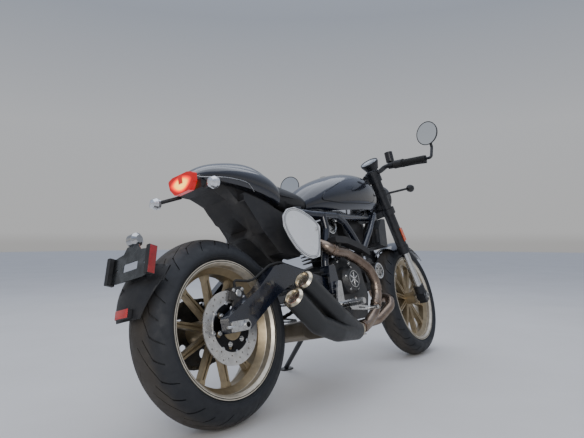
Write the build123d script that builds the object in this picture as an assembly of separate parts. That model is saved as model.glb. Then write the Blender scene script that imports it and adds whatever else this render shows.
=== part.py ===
from build123d import *
from math import asin, atan2, cos, hypot, pi, radians, sin, sqrt, tan
import os

# Scrambler motorcycle parked on its side stand, in millimetres.
# Every piece is drawn on an upright machine whose rear axle is at x = 0: +X is forward, +Y is the
# rider's left and +Z is up from the road. The function park then turns the steering group a little to the left,
# leans the whole machine on its stand and puts the origin on the floor under the middle of it.

# Chassis
WHEELBASE = 1436.0
RAKE = 21.8  # degrees behind vertical
TRAIL = 93.9
LEAN = 13.1  # degrees to the rider's left
PARKED_STEER = 3.8  # degrees to the rider's left
ORIGIN_X = 691.7
ORIGIN_Y = 246.2
FIT = 0.3  # gap between two pieces that seat on each other
RUNNING = 0.05  # radial gap of a shaft in its bore

# Wheels and tyres
REAR_RADIUS = 315.0
REAR_WIDTH = 180.0
REAR_CROWN = 95.0
FRONT_RADIUS = 300.0
FRONT_WIDTH = 120.0
FRONT_CROWN = 62.0
RIM_EDGE = 229.0
RIM_SEAT = 218.0
RIM_WELL = 197.0
RIM_WALL = 5.0
REAR_RIM_HALF = 76.0
FRONT_RIM_HALF = 50.5
TYRE_WALL = 9.0
SPOKES = 10
SPOKE_PHASE = 22.0

# Rear axle line
REAR_AXLE_R = 12.5
REAR_AXLE_BORE = 9.0
REAR_HUB_R = 42.0
REAR_DISC_R = 122.5
REAR_DISC_Y = -80.0
DISC_THICK = 4.5
SPROCKET_Y = 106.0
SPROCKET_THICK = 6.0
CHAIN_PITCH = 15.875
REAR_TEETH = 46
FRONT_TEETH = 15
CHAIN_GAP = 1.5

# Swinging arm
ARM_INNER_RIGHT = -100.0
ARM_OUTER_RIGHT = -140.0
ARM_INNER_LEFT = 118.0
ARM_OUTER_LEFT = 154.0
PIVOT_X = 522.0
PIVOT_Z = 388.0
PIVOT_R = 11.0
PIVOT_BOSS_R = 27.0

# Fork and steering
FORK_HALF = 98.0
OUTER_TUBE_R = 28.0
STANCHION_R = 20.5
STEM_R = 15.0
HEAD_TUBE_R = 29.0
FRONT_AXLE_R = 12.5
FRONT_AXLE_BORE = 8.5
LOWER_YOKE = 798.0  # distance up the steering axis from the road
YOKE_THICK = 32.0
UPPER_YOKE = 985.0
FORK_TOP = 1040.0
OUTER_TUBE_END = 577.0

# Engine
CRANK_X = 741.0
CRANK_Z = 396.0
VEE_TILT = 12.3  # degrees that each cylinder leans back from upright or level

# Body
FRAME_TUBE_R = 15.0
FRAME_HALF = 130.0

# Directions of the steering axis and of the fork's offset ahead of it
AXIS_X = -sin(radians(RAKE))
AXIS_Z = cos(radians(RAKE))
STEER_FOOT = WHEELBASE + TRAIL


def on_steering(along, ahead=0.0, left=0.0):
    """Point given by its distance up the steering axis from the road, ahead of it and to its left."""
    return Vector(STEER_FOOT + along * AXIS_X + ahead * AXIS_Z, left, along * AXIS_Z - ahead * AXIS_X)


WHEEL_ALONG = FRONT_RADIUS * AXIS_Z - TRAIL * AXIS_X
FORK_AHEAD = FRONT_RADIUS * -AXIS_X - TRAIL * AXIS_Z
STEER_AXIS = Axis(on_steering(0), (AXIS_X, 0, AXIS_Z))


def floor_lift():
    """Height that the leaning rear tyre's round tread adds."""
    return REAR_CROWN * (1 - cos(radians(LEAN)))


def fork_slide():
    """How far the front wheel moves up the fork so that its turned, leaning tread meets the road."""
    turn = Axis((0, 0, 0), (AXIS_X, 0, AXIS_Z))
    foot = on_steering(0)
    centre = foot + (on_steering(WHEEL_ALONG, FORK_AHEAD) - foot).rotate(turn, PARKED_STEER)
    turned = centre.rotate(Axis.X, -LEAN)
    across_z = Vector(0, 1, 0).rotate(turn, PARKED_STEER).rotate(Axis.X, -LEAN).Z
    reach = (FRONT_RADIUS - FRONT_CROWN) * sqrt(1 - across_z**2) + FRONT_CROWN
    low = turned.Z + floor_lift() - reach
    return -low / (AXIS_Z * cos(radians(LEAN)))


FORK_SLIDE = fork_slide()
AXLE_ALONG = WHEEL_ALONG + FORK_SLIDE
FRONT_AXLE = on_steering(AXLE_ALONG, FORK_AHEAD)
REAR_AXLE = Vector(0, 0, REAR_RADIUS)


def park(shape, steered):
    """Turn the steering, lean the machine and set the origin under its middle."""
    if steered:
        shape = shape.rotate(STEER_AXIS, PARKED_STEER)
    return shape.rotate(Axis.X, -LEAN).translate((-ORIGIN_X, -ORIGIN_Y, floor_lift()))


def write(name, *pieces, steered=False):
    """One file for each piece, or for like pieces that don't touch."""
    solids = [solid for piece in pieces for solid in piece.solids()]
    whole = solids[0] if len(solids) == 1 else Compound(solids)
    export_step(park(whole, steered), f"parts/{name}.step")


def rod(start, end, radius, bore=0.0):
    """Round bar or tube from one point to another."""
    start, end = Vector(start), Vector(end)
    section = Circle(radius)
    if bore:
        section -= Circle(bore)
    return extrude(Plane(origin=start, z_dir=end - start) * section, (end - start).length)


def rounded(points, radius, closed=False):
    """Straight runs joined by arcs; an arc is cut down where the shorter of its runs has no room."""
    points = [Vector(point) for point in points]
    edges, start = [], None
    count = len(points)
    order = range(count) if closed else range(1, count - 1)
    ends = []
    for number in order:
        corner = points[number]
        before, after = points[number - 1] - corner, points[(number + 1) % count] - corner
        half_angle = radians(before.get_angle(after) / 2)
        if half_angle > radians(89.7):
            continue  # a point in line with its neighbours needs no arc
        setback = min(radius / tan(half_angle), 0.46 * before.length, 0.46 * after.length)
        first, last = corner + before.normalized() * setback, corner + after.normalized() * setback
        middle_way = (before.normalized() + after.normalized()).normalized()
        depth = setback * tan(half_angle) * (1 / sin(half_angle) - 1)
        ends.append((first, corner + middle_way * depth, last))
    if not closed:
        start = points[0]
    else:
        start = ends[-1][2]
    for first, middle, last in ends:
        edges += [Line(start, first), ThreePointArc(first, middle, last)]
        start = last
    if not closed:
        edges.append(Line(start, points[-1]))
    return Wire(edges)


def tube(points, radius, bend, bore=0.0):
    """Bent tube along straight runs that are joined by arcs."""
    path = rounded(points, bend)
    section = Circle(radius)
    if bore:
        section -= Circle(bore)
    return sweep(Plane(origin=path @ 0, z_dir=path % 0) * section, path=path)


def slab(outline, y_low, y_high, corner=0.0):
    """Plate whose outline is given in the side view, as (x, z), with rounded corners."""
    line = rounded(outline, corner, True) if corner else Polyline(*outline, close=True)
    return extrude(Plane.XZ.offset(-y_high) * make_face(line), y_high - y_low)


def turned(profile, centre):
    """Solid of revolution about the cross axis through a centre, from (y, radius) points."""
    face = make_face(Polyline(*profile, close=True))
    return Pos(*centre) * revolve(Plane.YZ * face, Axis.Y)


def other_side(piece):
    return mirror(piece, Plane.XZ)


def both_sides(piece):
    return [piece, other_side(piece)]


def body_section(x, base, base_half, side, side_half, shoulder, shoulder_half, crest):
    """Cross section of a body panel: a flat base, two bowed sides and a crowned top."""
    left = ThreePointArc((base_half, base), (side_half, side), (shoulder_half, shoulder))
    crown = ThreePointArc((shoulder_half, shoulder), (0, crest), (-shoulder_half, shoulder))
    right = ThreePointArc((-shoulder_half, shoulder), (-side_half, side), (-base_half, base))
    floor = Line((-base_half, base), (base_half, base))
    return Plane.YZ.offset(x) * make_face([left, crown, right, floor])


def grown(rows, grow):
    """The same body, larger all round by a gap or a panel's thickness."""
    return [
        (x, base - grow, base_half + grow, side, side_half + grow, shoulder + grow, shoulder_half + grow, crest + grow)
        for x, base, base_half, side, side_half, shoulder, shoulder_half, crest in rows
    ]


def body_loft(rows):
    return loft([body_section(*row) for row in rows])


# Tyres: a round tread, two bowed side walls and a bead inside each rim flange

def tyre(radius, width, crown, rim_half, centre):
    half = width / 2
    crown_centre = radius - crown
    shoulder = crown_centre + sqrt(crown**2 - half**2)
    bead = rim_half - RIM_WALL - FIT
    seat = RIM_SEAT + FIT
    inner = half - TYRE_WALL
    toe = bead - 1.6 * TYRE_WALL
    lip = RIM_EDGE + 2
    bow = (shoulder + lip) / 2
    outside = [
        Line((bead, seat), (bead, lip)),
        ThreePointArc((bead, lip), (half - 2.5, bow), (half, shoulder)),
        ThreePointArc((half, shoulder), (0, radius), (-half, shoulder)),
        ThreePointArc((-half, shoulder), (2.5 - half, bow), (-bead, lip)),
        Line((-bead, lip), (-bead, seat)),
    ]
    inside = [
        Line((-bead, seat), (-toe, seat)),
        ThreePointArc((-toe, seat), (5 - inner, bow), (-inner, shoulder)),
        ThreePointArc((-inner, shoulder), (0, radius - TYRE_WALL), (inner, shoulder)),
        ThreePointArc((inner, shoulder), (inner - 5, bow), (toe, seat)),
        Line((toe, seat), (bead, seat)),
    ]
    face = make_face(outside + inside)
    return Pos(*centre) * revolve(Plane.YZ * face, Axis.Y)


# Cast wheels: a dropped-centre rim, ten tapering spokes and a hub

SPOKE_ROOT_HALF = 12.0
SPOKE_TIP_HALF = 9.0
SPOKE_DEEP = 26.0


def wheel(rim_half, hub_radius, hub_right, hub_left, bore, centre):
    well_half = 0.33 * rim_half
    hump = 0.62 * rim_half
    outside = [
        (rim_half, RIM_EDGE),
        (rim_half - RIM_WALL, RIM_EDGE),
        (rim_half - RIM_WALL, RIM_SEAT),
        (hump, RIM_SEAT),
        (well_half, RIM_WELL),
    ]
    inside = [
        (well_half - 3, RIM_WELL - RIM_WALL - 2),
        (hump - 3, RIM_SEAT - RIM_WALL - 2),
        (rim_half - 9, RIM_SEAT - RIM_WALL - 1),
        (rim_half, RIM_SEAT + 2),
    ]
    mirrored_outside = [(-y, r) for y, r in reversed(outside)]
    mirrored_inside = [(-y, r) for y, r in reversed(inside)]
    rim = turned(outside + mirrored_outside + mirrored_inside + inside, (0, 0, 0))
    hub = rod((0, hub_right, 0), (0, hub_left, 0), hub_radius)
    root = hub_radius - 4
    tip = RIM_WELL - RIM_WALL + 1
    outline = [(root, -SPOKE_ROOT_HALF), (tip - 22, -SPOKE_TIP_HALF), (tip, -SPOKE_TIP_HALF - 5)]
    outline += [(x, -z) for x, z in reversed(outline)]
    spoke = slab(outline, -SPOKE_DEEP / 2, SPOKE_DEEP / 2)
    groove = [(root + 14, -3), (tip - 20, -2), (tip - 20, 2), (root + 14, 3)]
    for low in (-SPOKE_DEEP / 2, SPOKE_DEEP / 2 - 7):
        spoke -= slab(groove, low, low + 7)
    for number in range(SPOKES):
        hub += spoke.rotate(Axis.Y, -SPOKE_PHASE - number * 360 / SPOKES)
    whole = rim + hub
    whole -= rod((0, hub_right - 1, 0), (0, hub_left + 1, 0), bore)
    return Pos(*centre) * whole


# Brake discs: a drilled ring on a spider that bolts to the hub

def brake_disc(radius, band, hub_seat, y_middle, centre, holes):
    low, high = y_middle - DISC_THICK / 2, y_middle + DISC_THICK / 2
    ring = rod((0, low, 0), (0, high, 0), radius, radius - band)
    spider = rod((0, low - 1, 0), (0, high + 1, 0), radius - band + 4, hub_seat)
    windows = []
    middle = (radius - band + hub_seat) / 2
    for number in range(6):
        angle = radians(number * 60 + 15)
        windows.append(Pos(middle * cos(angle), 0, middle * sin(angle)) * rod((0, low - 2, 0), (0, high + 2, 0), 11))
    drilled = []
    for row, part_of_band in enumerate((0.25, 0.5, 0.75)):
        for number in range(holes):
            angle = radians((number + row / 3) * 360 / holes)
            reach = radius - band * part_of_band
            drilled.append(Pos(reach * cos(angle), 0, reach * sin(angle)) * rod((0, low - 1, 0), (0, high + 1, 0), 3))
    return Pos(*centre) * (ring + spider - windows - drilled)


# Final drive: two sprockets and a closed run of chain round them

def pitch_radius(teeth):
    return CHAIN_PITCH / 2 / sin(pi / teeth)


OUTPUT_X = 606.0
OUTPUT_Z = 384.0


def sprocket(teeth, hub_seat, y_middle, centre, windows):
    tip = pitch_radius(teeth)
    root = tip - 7
    points = []
    for number in range(teeth):
        for part_of_tooth, reach in ((0.0, tip), (0.2, tip), (0.45, root), (0.75, root)):
            angle = radians((number + part_of_tooth) * 360 / teeth)
            points.append((reach * cos(angle), reach * sin(angle)))
    piece = slab(points, y_middle - SPROCKET_THICK / 2, y_middle + SPROCKET_THICK / 2)
    if hub_seat:
        piece -= rod((0, y_middle - SPROCKET_THICK, 0), (0, y_middle + SPROCKET_THICK, 0), hub_seat)
    for number in range(windows):
        angle = radians(number * 360 / windows)
        reach = (hub_seat + root) / 2
        cut = rod((0, y_middle - SPROCKET_THICK, 0), (0, y_middle + SPROCKET_THICK, 0), (root - hub_seat) / 4)
        piece -= Pos(reach * cos(angle), 0, reach * sin(angle)) * cut
    return Pos(*centre) * piece


CHAIN_HALF_WIDTH = 8.0
CHAIN_INNER_Y = SPROCKET_Y - CHAIN_HALF_WIDTH
CHAIN_THICK = 14.0


def chain_outline(offset):
    """Outline of the run round both sprockets, at an offset outside their tips."""
    rear, front = pitch_radius(REAR_TEETH) + offset, pitch_radius(FRONT_TEETH) + offset - CHAIN_GAP + FIT
    span_x, span_z = OUTPUT_X, OUTPUT_Z - REAR_RADIUS
    span = hypot(span_x, span_z)
    slope = atan2(span_z, span_x)
    open_angle = pi / 2 + asin((rear - front) / span)
    ends = []
    for centre, radius in (((0, REAR_RADIUS), rear), ((OUTPUT_X, OUTPUT_Z), front)):
        for side in (1, -1):
            angle = slope + side * (pi - open_angle)
            ends.append((centre[0] + radius * cos(angle), centre[1] + radius * sin(angle)))
    rear_back = (rear * cos(slope + pi), REAR_RADIUS + rear * sin(slope + pi))
    front_nose = (OUTPUT_X + front * cos(slope), OUTPUT_Z + front * sin(slope))
    return make_face(
        [
            ThreePointArc(ends[0], rear_back, ends[1]),
            Line(ends[1], ends[3]),
            ThreePointArc(ends[3], front_nose, ends[2]),
            Line(ends[2], ends[0]),
        ]
    )


def drive_chain():
    band = chain_outline(CHAIN_GAP + CHAIN_THICK) - chain_outline(CHAIN_GAP)
    return extrude(Plane.XZ.offset(-SPROCKET_Y - CHAIN_HALF_WIDTH) * band, 2 * CHAIN_HALF_WIDTH)


# Swinging arm: two box-section legs beside the wheel, joined ahead of the tyre

ARM_OUTLINE = [  # (x, z) round the leg, from the axle's top edge forward and back underneath
    (-62, 348), (96, 426), (203, 503), (262, 510), (355, 484), (470, 452), (548, 428), (556, 372),
    (500, 362), (400, 396), (279, 431), (193, 395), (100, 340), (30, 298), (-62, 296),
]
AXLE_SLOT_R = REAR_AXLE_R + FIT


def swingarm():
    right = slab(ARM_OUTLINE, ARM_OUTER_RIGHT, ARM_INNER_RIGHT, 14)
    left = slab(ARM_OUTLINE, ARM_INNER_LEFT, ARM_OUTER_LEFT, 14)
    bridge = slab([(352, 480), (460, 448), (460, 396), (352, 418)], ARM_INNER_RIGHT, CHAIN_INNER_Y - 4, 10)
    bridge += slab([(420, 414), (520, 414), (530, 366), (430, 372)], ARM_INNER_RIGHT, ARM_INNER_LEFT, 8)
    boss = rod((PIVOT_X, ARM_INNER_RIGHT, PIVOT_Z), (PIVOT_X, ARM_INNER_LEFT, PIVOT_Z), PIVOT_BOSS_R)
    shock_lug = slab([(304, 480), (340, 480), (336, 526), (308, 526)], 127, 134, 6)
    shock_lug += rod((SHOCK_LOW.X, 96, SHOCK_LOW.Z), (SHOCK_LOW.X, 134, SHOCK_LOW.Z), SHOCK_PIN_R)
    whole = right + left + bridge + boss + shock_lug
    whole -= rod((PIVOT_X, -200, PIVOT_Z), (PIVOT_X, 200, PIVOT_Z), PIVOT_R + FIT)
    whole -= rod((0, -200, REAR_RADIUS), (0, 200, REAR_RADIUS), AXLE_SLOT_R)
    return whole


def rear_axle():
    """Hollow axle with a hexagon head and nut and the silver block that tensions the chain."""
    right, left = ARM_OUTER_RIGHT - FIT, ARM_OUTER_LEFT + FIT
    bar = rod((0, right - 22, REAR_RADIUS), (0, left + 22, REAR_RADIUS), REAR_AXLE_R)
    for seat, way in ((right, -1), (left, 1)):
        block = [(-58, 298), (20, 298), (20, 332), (-58, 332)]
        low, high = sorted((seat, seat + way * 7))
        bar += slab(block, low, high, 4)
        nut = extrude(Plane.XZ.offset(-(seat + way * 18)) * RegularPolygon(17, 6), way * 12)
        bar += Pos(0, 0, REAR_RADIUS) * nut
    return bar - rod((0, right - 40, REAR_RADIUS), (0, left + 40, REAR_RADIUS), REAR_AXLE_BORE)


# Tubular frame: head tube, upper rails, arches over the engine and plates at the arm's pivot

HEAD_LOW = LOWER_YOKE + YOKE_THICK + 1
HEAD_HIGH = UPPER_YOKE - 1
NODE = (851, -FRAME_HALF, 545)
REGULATOR_TOP = 706.0
PLATE_INNER = -(ARM_OUTER_LEFT + FIT)


def main_frame():
    head = rod(on_steering(HEAD_LOW), on_steering(HEAD_HIGH), HEAD_TUBE_R)
    head_low = on_steering(HEAD_LOW + 30, 0, -14)
    head_high = on_steering(HEAD_LOW + 72, 0, -14)
    rear_corner = (586, -FRAME_HALF, 712)
    runs = [
        ([head_low, (1070, -108, 738), (960, -FRAME_HALF, 650), NODE], 30),
        ([NODE, (796, -FRAME_HALF, 622), (746, -FRAME_HALF, 682), (686, -FRAME_HALF, 712), rear_corner], 40),
        ([rear_corner, (592, -FRAME_HALF, 650), (538, -FRAME_HALF, 512), (530, -FRAME_HALF, 470)], 30),
        ([head_high, (1060, -90, 722), (800, -118, 712), (690, -FRAME_HALF, 712)], 40),
        ([rear_corner, (520, -118, 716), (428, -101, 727)], 40),
    ]
    right = tube(runs[0][0], FRAME_TUBE_R, runs[0][1])
    for points, bend in runs[1:]:
        right += tube(points, FRAME_TUBE_R, bend)
    plate_outline = [(500, 372), (546, 372), (560, 420), (552, 490), (508, 490), (498, 420)]
    plate = slab(plate_outline, PLATE_INNER - 10, PLATE_INNER, 10)
    case_edge = Vector(*REAR_SEAT[1]) - Vector(*FRONT_SEAT[0])
    seat_low = Vector(*FRONT_SEAT[0]) + case_edge.rotate(Axis.Z, -90).normalized() * FIT
    lug = slab([(508, 448), (552, 448), (552, 490), (508, 490)], PLATE_INNER - 10, -FRAME_HALF + 12, 8)
    box_lug = slab([(1064, 741), (1088, 748), (1088, REGULATOR_TOP + FIT), (1064, REGULATOR_TOP + FIT)], -113, -103)
    seat_pad = slab([(434, 724), (474, 724), (474, 750), (434, 750)], -106, -78)
    right += plate + lug + (seat_pad - body_loft(grown(SEAT_SECTIONS, FIT)))
    whole = head + right + box_lug + other_side(right)
    whole += rod((586, -FRAME_HALF, 712), (586, FRAME_HALF, 712), FRAME_TUBE_R)
    whole += rod(NODE, (NODE[0], -NODE[1], NODE[2]), FRAME_TUBE_R - 3)
    whole += slab([(580, 708), (640, 708), (640, 764), (580, 764)], -30, 30) - body_loft(grown(TANK_SECTIONS, FIT))
    seat_inner = seat_low + case_edge * 0.45
    mount = [(NODE[0] - 16, NODE[2]), (NODE[0] + 14, NODE[2]), (seat_low.X, seat_low.Y), (seat_inner.X, seat_inner.Y)]
    whole += slab(mount, -30, 30)
    whole += slab([(416, 724), (442, 724), (440, 682), (418, 682)], 91, 97, 6)
    whole += rod((SHOCK_HIGH.X, 92, SHOCK_HIGH.Z), (SHOCK_HIGH.X, 130, SHOCK_HIGH.Z), SHOCK_PIN_R)
    whole += rod((PIVOT_X, PLATE_INNER - 16, PIVOT_Z), (PIVOT_X, 16 - PLATE_INNER, PIVOT_Z), PIVOT_R)
    return whole - rod(on_steering(HEAD_LOW - 5), on_steering(HEAD_HIGH + 5), STEM_R + RUNNING)


# Engine: a crankcase, two finned cylinders at a right angle and the covers on both sides

CASE_HALF = 96.0
CASE_FLOOR = 252.0
CYLINDER_START = 130.0
CYLINDER_HALF = 75.0
CYLINDER_LENGTH = 120.0
HEAD_LENGTH = 74.0
PORT_HIGH = CYLINDER_START + CYLINDER_LENGTH + 34
PORT_OUT = CYLINDER_HALF + 2
PORT_Y = -34.0
FIN_COUNT = 6
FIN_THICK = 4.0


def from_crank(reach, across):
    """Point in the side view: a distance up the rear cylinder and another up the front one."""
    tilt = radians(VEE_TILT)
    return (CRANK_X - reach * sin(tilt) + across * cos(tilt), CRANK_Z + reach * cos(tilt) + across * sin(tilt))


REAR_SEAT = (from_crank(CYLINDER_START, -CYLINDER_HALF), from_crank(CYLINDER_START, CYLINDER_HALF))
FRONT_SEAT = (from_crank(CYLINDER_HALF, CYLINDER_START), from_crank(-CYLINDER_HALF, CYLINDER_START))
CASE_OUTLINE = [
    (590, 300), (626, CASE_FLOOR), (840, CASE_FLOOR), FRONT_SEAT[1], FRONT_SEAT[0], REAR_SEAT[1], REAR_SEAT[0],
    (590, 470),
]
COVER_OUTLINE = [
    (590, 356), (640, 322), (735, 330), (790, 400), (770, 470), (730, 508), (640, 520), (590, 500),
]
COVER_PROUD = 24.0
CLUTCH_X, CLUTCH_Z = 677.0, 424.0
CLUTCH_R = 60.0
CLUTCH_FACE = -165.0


def engine_block():
    """Crankcase as one closed block, with the drive's output shaft and its sprocket on the left."""
    block = slab(CASE_OUTLINE, -CASE_HALF, CASE_HALF)
    shaft = rod((OUTPUT_X, CASE_HALF - 6, OUTPUT_Z), (OUTPUT_X, SPROCKET_Y + 12, OUTPUT_Z), 14)
    return block + shaft + sprocket(FRONT_TEETH, 0, SPROCKET_Y, (OUTPUT_X, 0, OUTPUT_Z), 0)


def cylinder(tilt):
    """Barrel with fins and a head, standing on the crankcase; drawn upright and then tilted."""
    barrel = rod((0, 0, CYLINDER_START), (0, 0, CYLINDER_START + CYLINDER_LENGTH), 52)
    for number in range(FIN_COUNT):
        height = CYLINDER_START + 22 + number * (CYLINDER_LENGTH - 26) / FIN_COUNT
        fin = extrude(Plane.XY.offset(height) * RectangleRounded(2 * CYLINDER_HALF, 2 * CYLINDER_HALF, 30), FIN_THICK)
        barrel += fin
    head_base = CYLINDER_START + CYLINDER_LENGTH
    head = extrude(Plane.XY.offset(head_base - 4) * RectangleRounded(146, 140, 22), HEAD_LENGTH, taper=6)
    port = rod((-50, PORT_Y, PORT_HIGH), (-PORT_OUT, PORT_Y, PORT_HIGH), 28)
    return (barrel + head + port).rotate(Axis.Y, tilt).translate((CRANK_X, 0, CRANK_Z))


def dome(centre, y_seat, y_face, radius):
    """Round cover with a chamfered rim and a raised ring on its face."""
    proud = abs(y_face - y_seat)
    way = 1 if y_face > y_seat else -1
    profile = [
        (y_seat, 0), (y_seat, radius), (y_seat + way * 0.6 * proud, radius), (y_face, radius - 12),
        (y_face, 40), (y_face + way * 3, 38), (y_face + way * 3, 33), (y_face, 31), (y_face, 0),
    ]
    return turned(profile, centre)


def crankcase_covers():
    right = slab(COVER_OUTLINE, -CASE_HALF - COVER_PROUD, -CASE_HALF, 20)
    right += dome((CLUTCH_X, 0, CLUTCH_Z), -CASE_HALF - COVER_PROUD + 2, CLUTCH_FACE, CLUTCH_R)
    left_outline = [(668, 300), (700, 262), (800, 262), (842, 320), (842, 420), (800, 470), (700, 480), (668, 430)]
    left = slab(left_outline, CASE_HALF, CASE_HALF + COVER_PROUD, 20)
    left += dome((CRANK_X + 5, 0, CRANK_Z - 20), CASE_HALF + COVER_PROUD - 2, 158, 70)
    return right, left


def belt_covers():
    """Long covers over the cam belts, with a round end at each head."""
    pieces = []
    for tilt in (-VEE_TILT, 90 - VEE_TILT):
        arm = slab([(-26, 150), (26, 150), (34, 292), (-34, 292)], -100, -76, 8)
        arm += rod((0, -100, 286), (0, -76, 286), 42)
        arm += turned([(-100, 40), (-103, 38), (-103, 31), (-100, 29)], (0, 0, 286))
        pieces.append(arm.rotate(Axis.Y, tilt).translate((CRANK_X, 0, CRANK_Z)))
    return pieces


# Exhaust: two headers, a box under the engine and a stacked pair of silencers on the right

HEADER_R = 22.0
HEADER_Y = -170.0


SILENCER_JOINT = Vector(600, HEADER_Y - 2, 214)
HEADER_WAY = (Vector(700, HEADER_Y, 226) - SILENCER_JOINT).normalized()


def exhaust_headers():
    rear_port, rear_run = from_crank(PORT_HIGH, -PORT_OUT - FIT), from_crank(PORT_HIGH, -128)
    front_port, front_run = from_crank(-PORT_OUT - FIT, PORT_HIGH), from_crank(-118, PORT_HIGH)
    rear = tube(
        [
            (rear_port[0], PORT_Y, rear_port[1]), (rear_run[0], PORT_Y, rear_run[1]), (518, -104, 602), (518, HEADER_Y, 562),
            (566, HEADER_Y, 545), (640, HEADER_Y, 537), (730, HEADER_Y, 503), (805, HEADER_Y, 462),
            (842, HEADER_Y, 405), (830, HEADER_Y, 340), (785, HEADER_Y, 272), (700, HEADER_Y, 226),
            SILENCER_JOINT + HEADER_WAY * 8,
        ],
        HEADER_R,
        60,
    )
    front = tube(
        [
            (front_port[0], PORT_Y, front_port[1]), (front_run[0], PORT_Y, front_run[1]), (1036, -118, 316), (985, -138, 280),
            (900, -112, 232), (790, -60, 222), (BOX_FRONT + FIT, -60, 222),
        ],
        HEADER_R,
        50,
    )
    return rear, front


def heat_guard():
    """Black shield that stands off the rear header."""
    centre = [(552, 592), (632, 588), (738, 560), (806, 530)]
    upper = [(x, z + 15) for x, z in centre]
    lower = [(x, z - 14) for x, z in reversed(centre)]
    whole = slab(upper + lower, HEADER_Y - 24, HEADER_Y + 14, 6)
    whole += rod((606, HEADER_Y, 585), (606, HEADER_Y, 545), 7)
    whole += rod((776, HEADER_Y, 540), (764, HEADER_Y, 490), 7)
    whole -= rod((560, HEADER_Y, 545.6), (640, HEADER_Y, 537), HEADER_R + FIT)
    return whole - rod((730, HEADER_Y, 503), (805, HEADER_Y, 462), HEADER_R + FIT)


BOX_FRONT = 668.0
BOX_OUTLINE = [
    (338, 286), (338, 236), (372, 218), (600, 203), (BOX_FRONT, 203), (BOX_FRONT, CASE_FLOOR - 4),
    (618, CASE_FLOOR - 4), (580, 290),
]
BOX_RIGHT, BOX_LEFT = -108.0, 90.0
SILENCER_R = 37.5


def exhaust_box():
    top = CASE_FLOOR - FIT
    pad = slab([(634, 240), (656, 240), (656, top), (634, top)], -30, 30)
    return slab(BOX_OUTLINE, BOX_RIGHT, BOX_LEFT, 14) + pad


def silencers():
    """Stacked pair of silencers that share one inlet, with turned cones in their open ends."""
    upper_tip, lower_tip = Vector(240, -228, 432), Vector(168, -228, 376)
    upper_bend, lower_bend = Vector(440, -206, 292), Vector(300, -212, 272)
    upper = tube([upper_tip, upper_bend, SILENCER_JOINT], SILENCER_R, 60)
    lower = tube([lower_tip, lower_bend, Vector(430, -200, 228), SILENCER_JOINT], SILENCER_R, 60)
    whole = upper + lower + rod(SILENCER_JOINT - HEADER_WAY * 12, SILENCER_JOINT + HEADER_WAY * 26, HEADER_R + 5)
    whole -= rod(SILENCER_JOINT + HEADER_WAY * 7, SILENCER_JOINT + HEADER_WAY * 40, HEADER_R + FIT)
    whole += slab([(508, 240), (546, 230), (540, 311), (512, 311)], HANGER_OUT - FIT - 8, HANGER_OUT - FIT)
    for tip, bend in ((upper_tip, upper_bend), (lower_tip, lower_bend)):
        way = (bend - tip).normalized()
        cone = Plane(origin=tip - way * 6, z_dir=way)
        whole += loft([cone * Circle(30), cone.offset(6.5) * Circle(SILENCER_R)])
        whole -= loft([cone.offset(-1) * Circle(27), cone.offset(46) * Circle(15)])
    return whole


# Body: tank with side panels, seat with a tail hump, tail unit and blank side plates

TANK_SECTIONS = [  # x, base z, base half, side z, side half, shoulder z, shoulder half, crest z
    (556, 742, 58, 770, 74, 806, 50, 820),
    (640, 744, 84, 792, 108, 858, 72, 880),
    (800, 750, 112, 818, 139, 914, 90, 938),
    (950, 758, 118, 836, 147, 938, 96, 966),
    (1060, 764, 108, 842, 136, 938, 88, 966),
    (1150, 768, 84, 842, 112, 930, 70, 955),
]
TANK_CLEAR = 86.0  # gap from the steering axis back to the tank's front


def fuel_tank():
    whole = body_loft(TANK_SECTIONS)
    front = Plane(origin=on_steering(900, -TANK_CLEAR), x_dir=(0, 1, 0), z_dir=(AXIS_Z, 0, -AXIS_X))
    whole -= extrude(front * Rectangle(600, 900), 300)
    whole -= slab([(1000, 700), (1000, 774), (1060, 784), (1150, 850), (1220, 850), (1220, 700)], -96, 96)
    filler = turned([(0, 0), (0, 30), (6, 30), (9, 26), (9, 0)], (0, 0, 0))
    cap = filler.rotate(Axis.X, 90).translate((985, 0, 962))
    return whole + cap


PANEL_OUTLINE = [(628, 790), (662, 824), (803, 886), (940, 914), (1060, 905), (1058, 802), (1000, 784), (760, 776)]
PANEL_THICK = 3.5


def tank_panels():
    """Thin removable panels over the tank's sides."""
    shell = body_loft(grown(TANK_SECTIONS, PANEL_THICK)) - body_loft(grown(TANK_SECTIONS, FIT))
    return both_sides(shell & slab(PANEL_OUTLINE, -200, -60, 16))


SEAT_SECTIONS = [
    (352, 748, 86, 790, 104, 842, 74, 880),
    (430, 742, 92, 780, 110, 822, 84, 850),
    (535, 742, 74, 775, 90, 802, 66, 818),
    (552, 744, 60, 775, 76, 800, 52, 812),
]
COWL_END = -34.0
COWL_SECTIONS = [
    (COWL_END, 836, 52, 846, 58, 858, 40, 868),
    (40, 828, 82, 850, 94, 884, 62, 908),
    (160, 812, 96, 842, 110, 896, 70, 932),
    (270, 786, 100, 830, 114, 888, 74, 932),
    (351, 756, 92, 798, 106, 850, 76, 890),
]


def seat():
    return body_loft(SEAT_SECTIONS)


def seat_cowl():
    return body_loft(COWL_SECTIONS)


REAR_INDICATORS = [(-30, -134, 800), (-70, 136, 796)]


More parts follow.
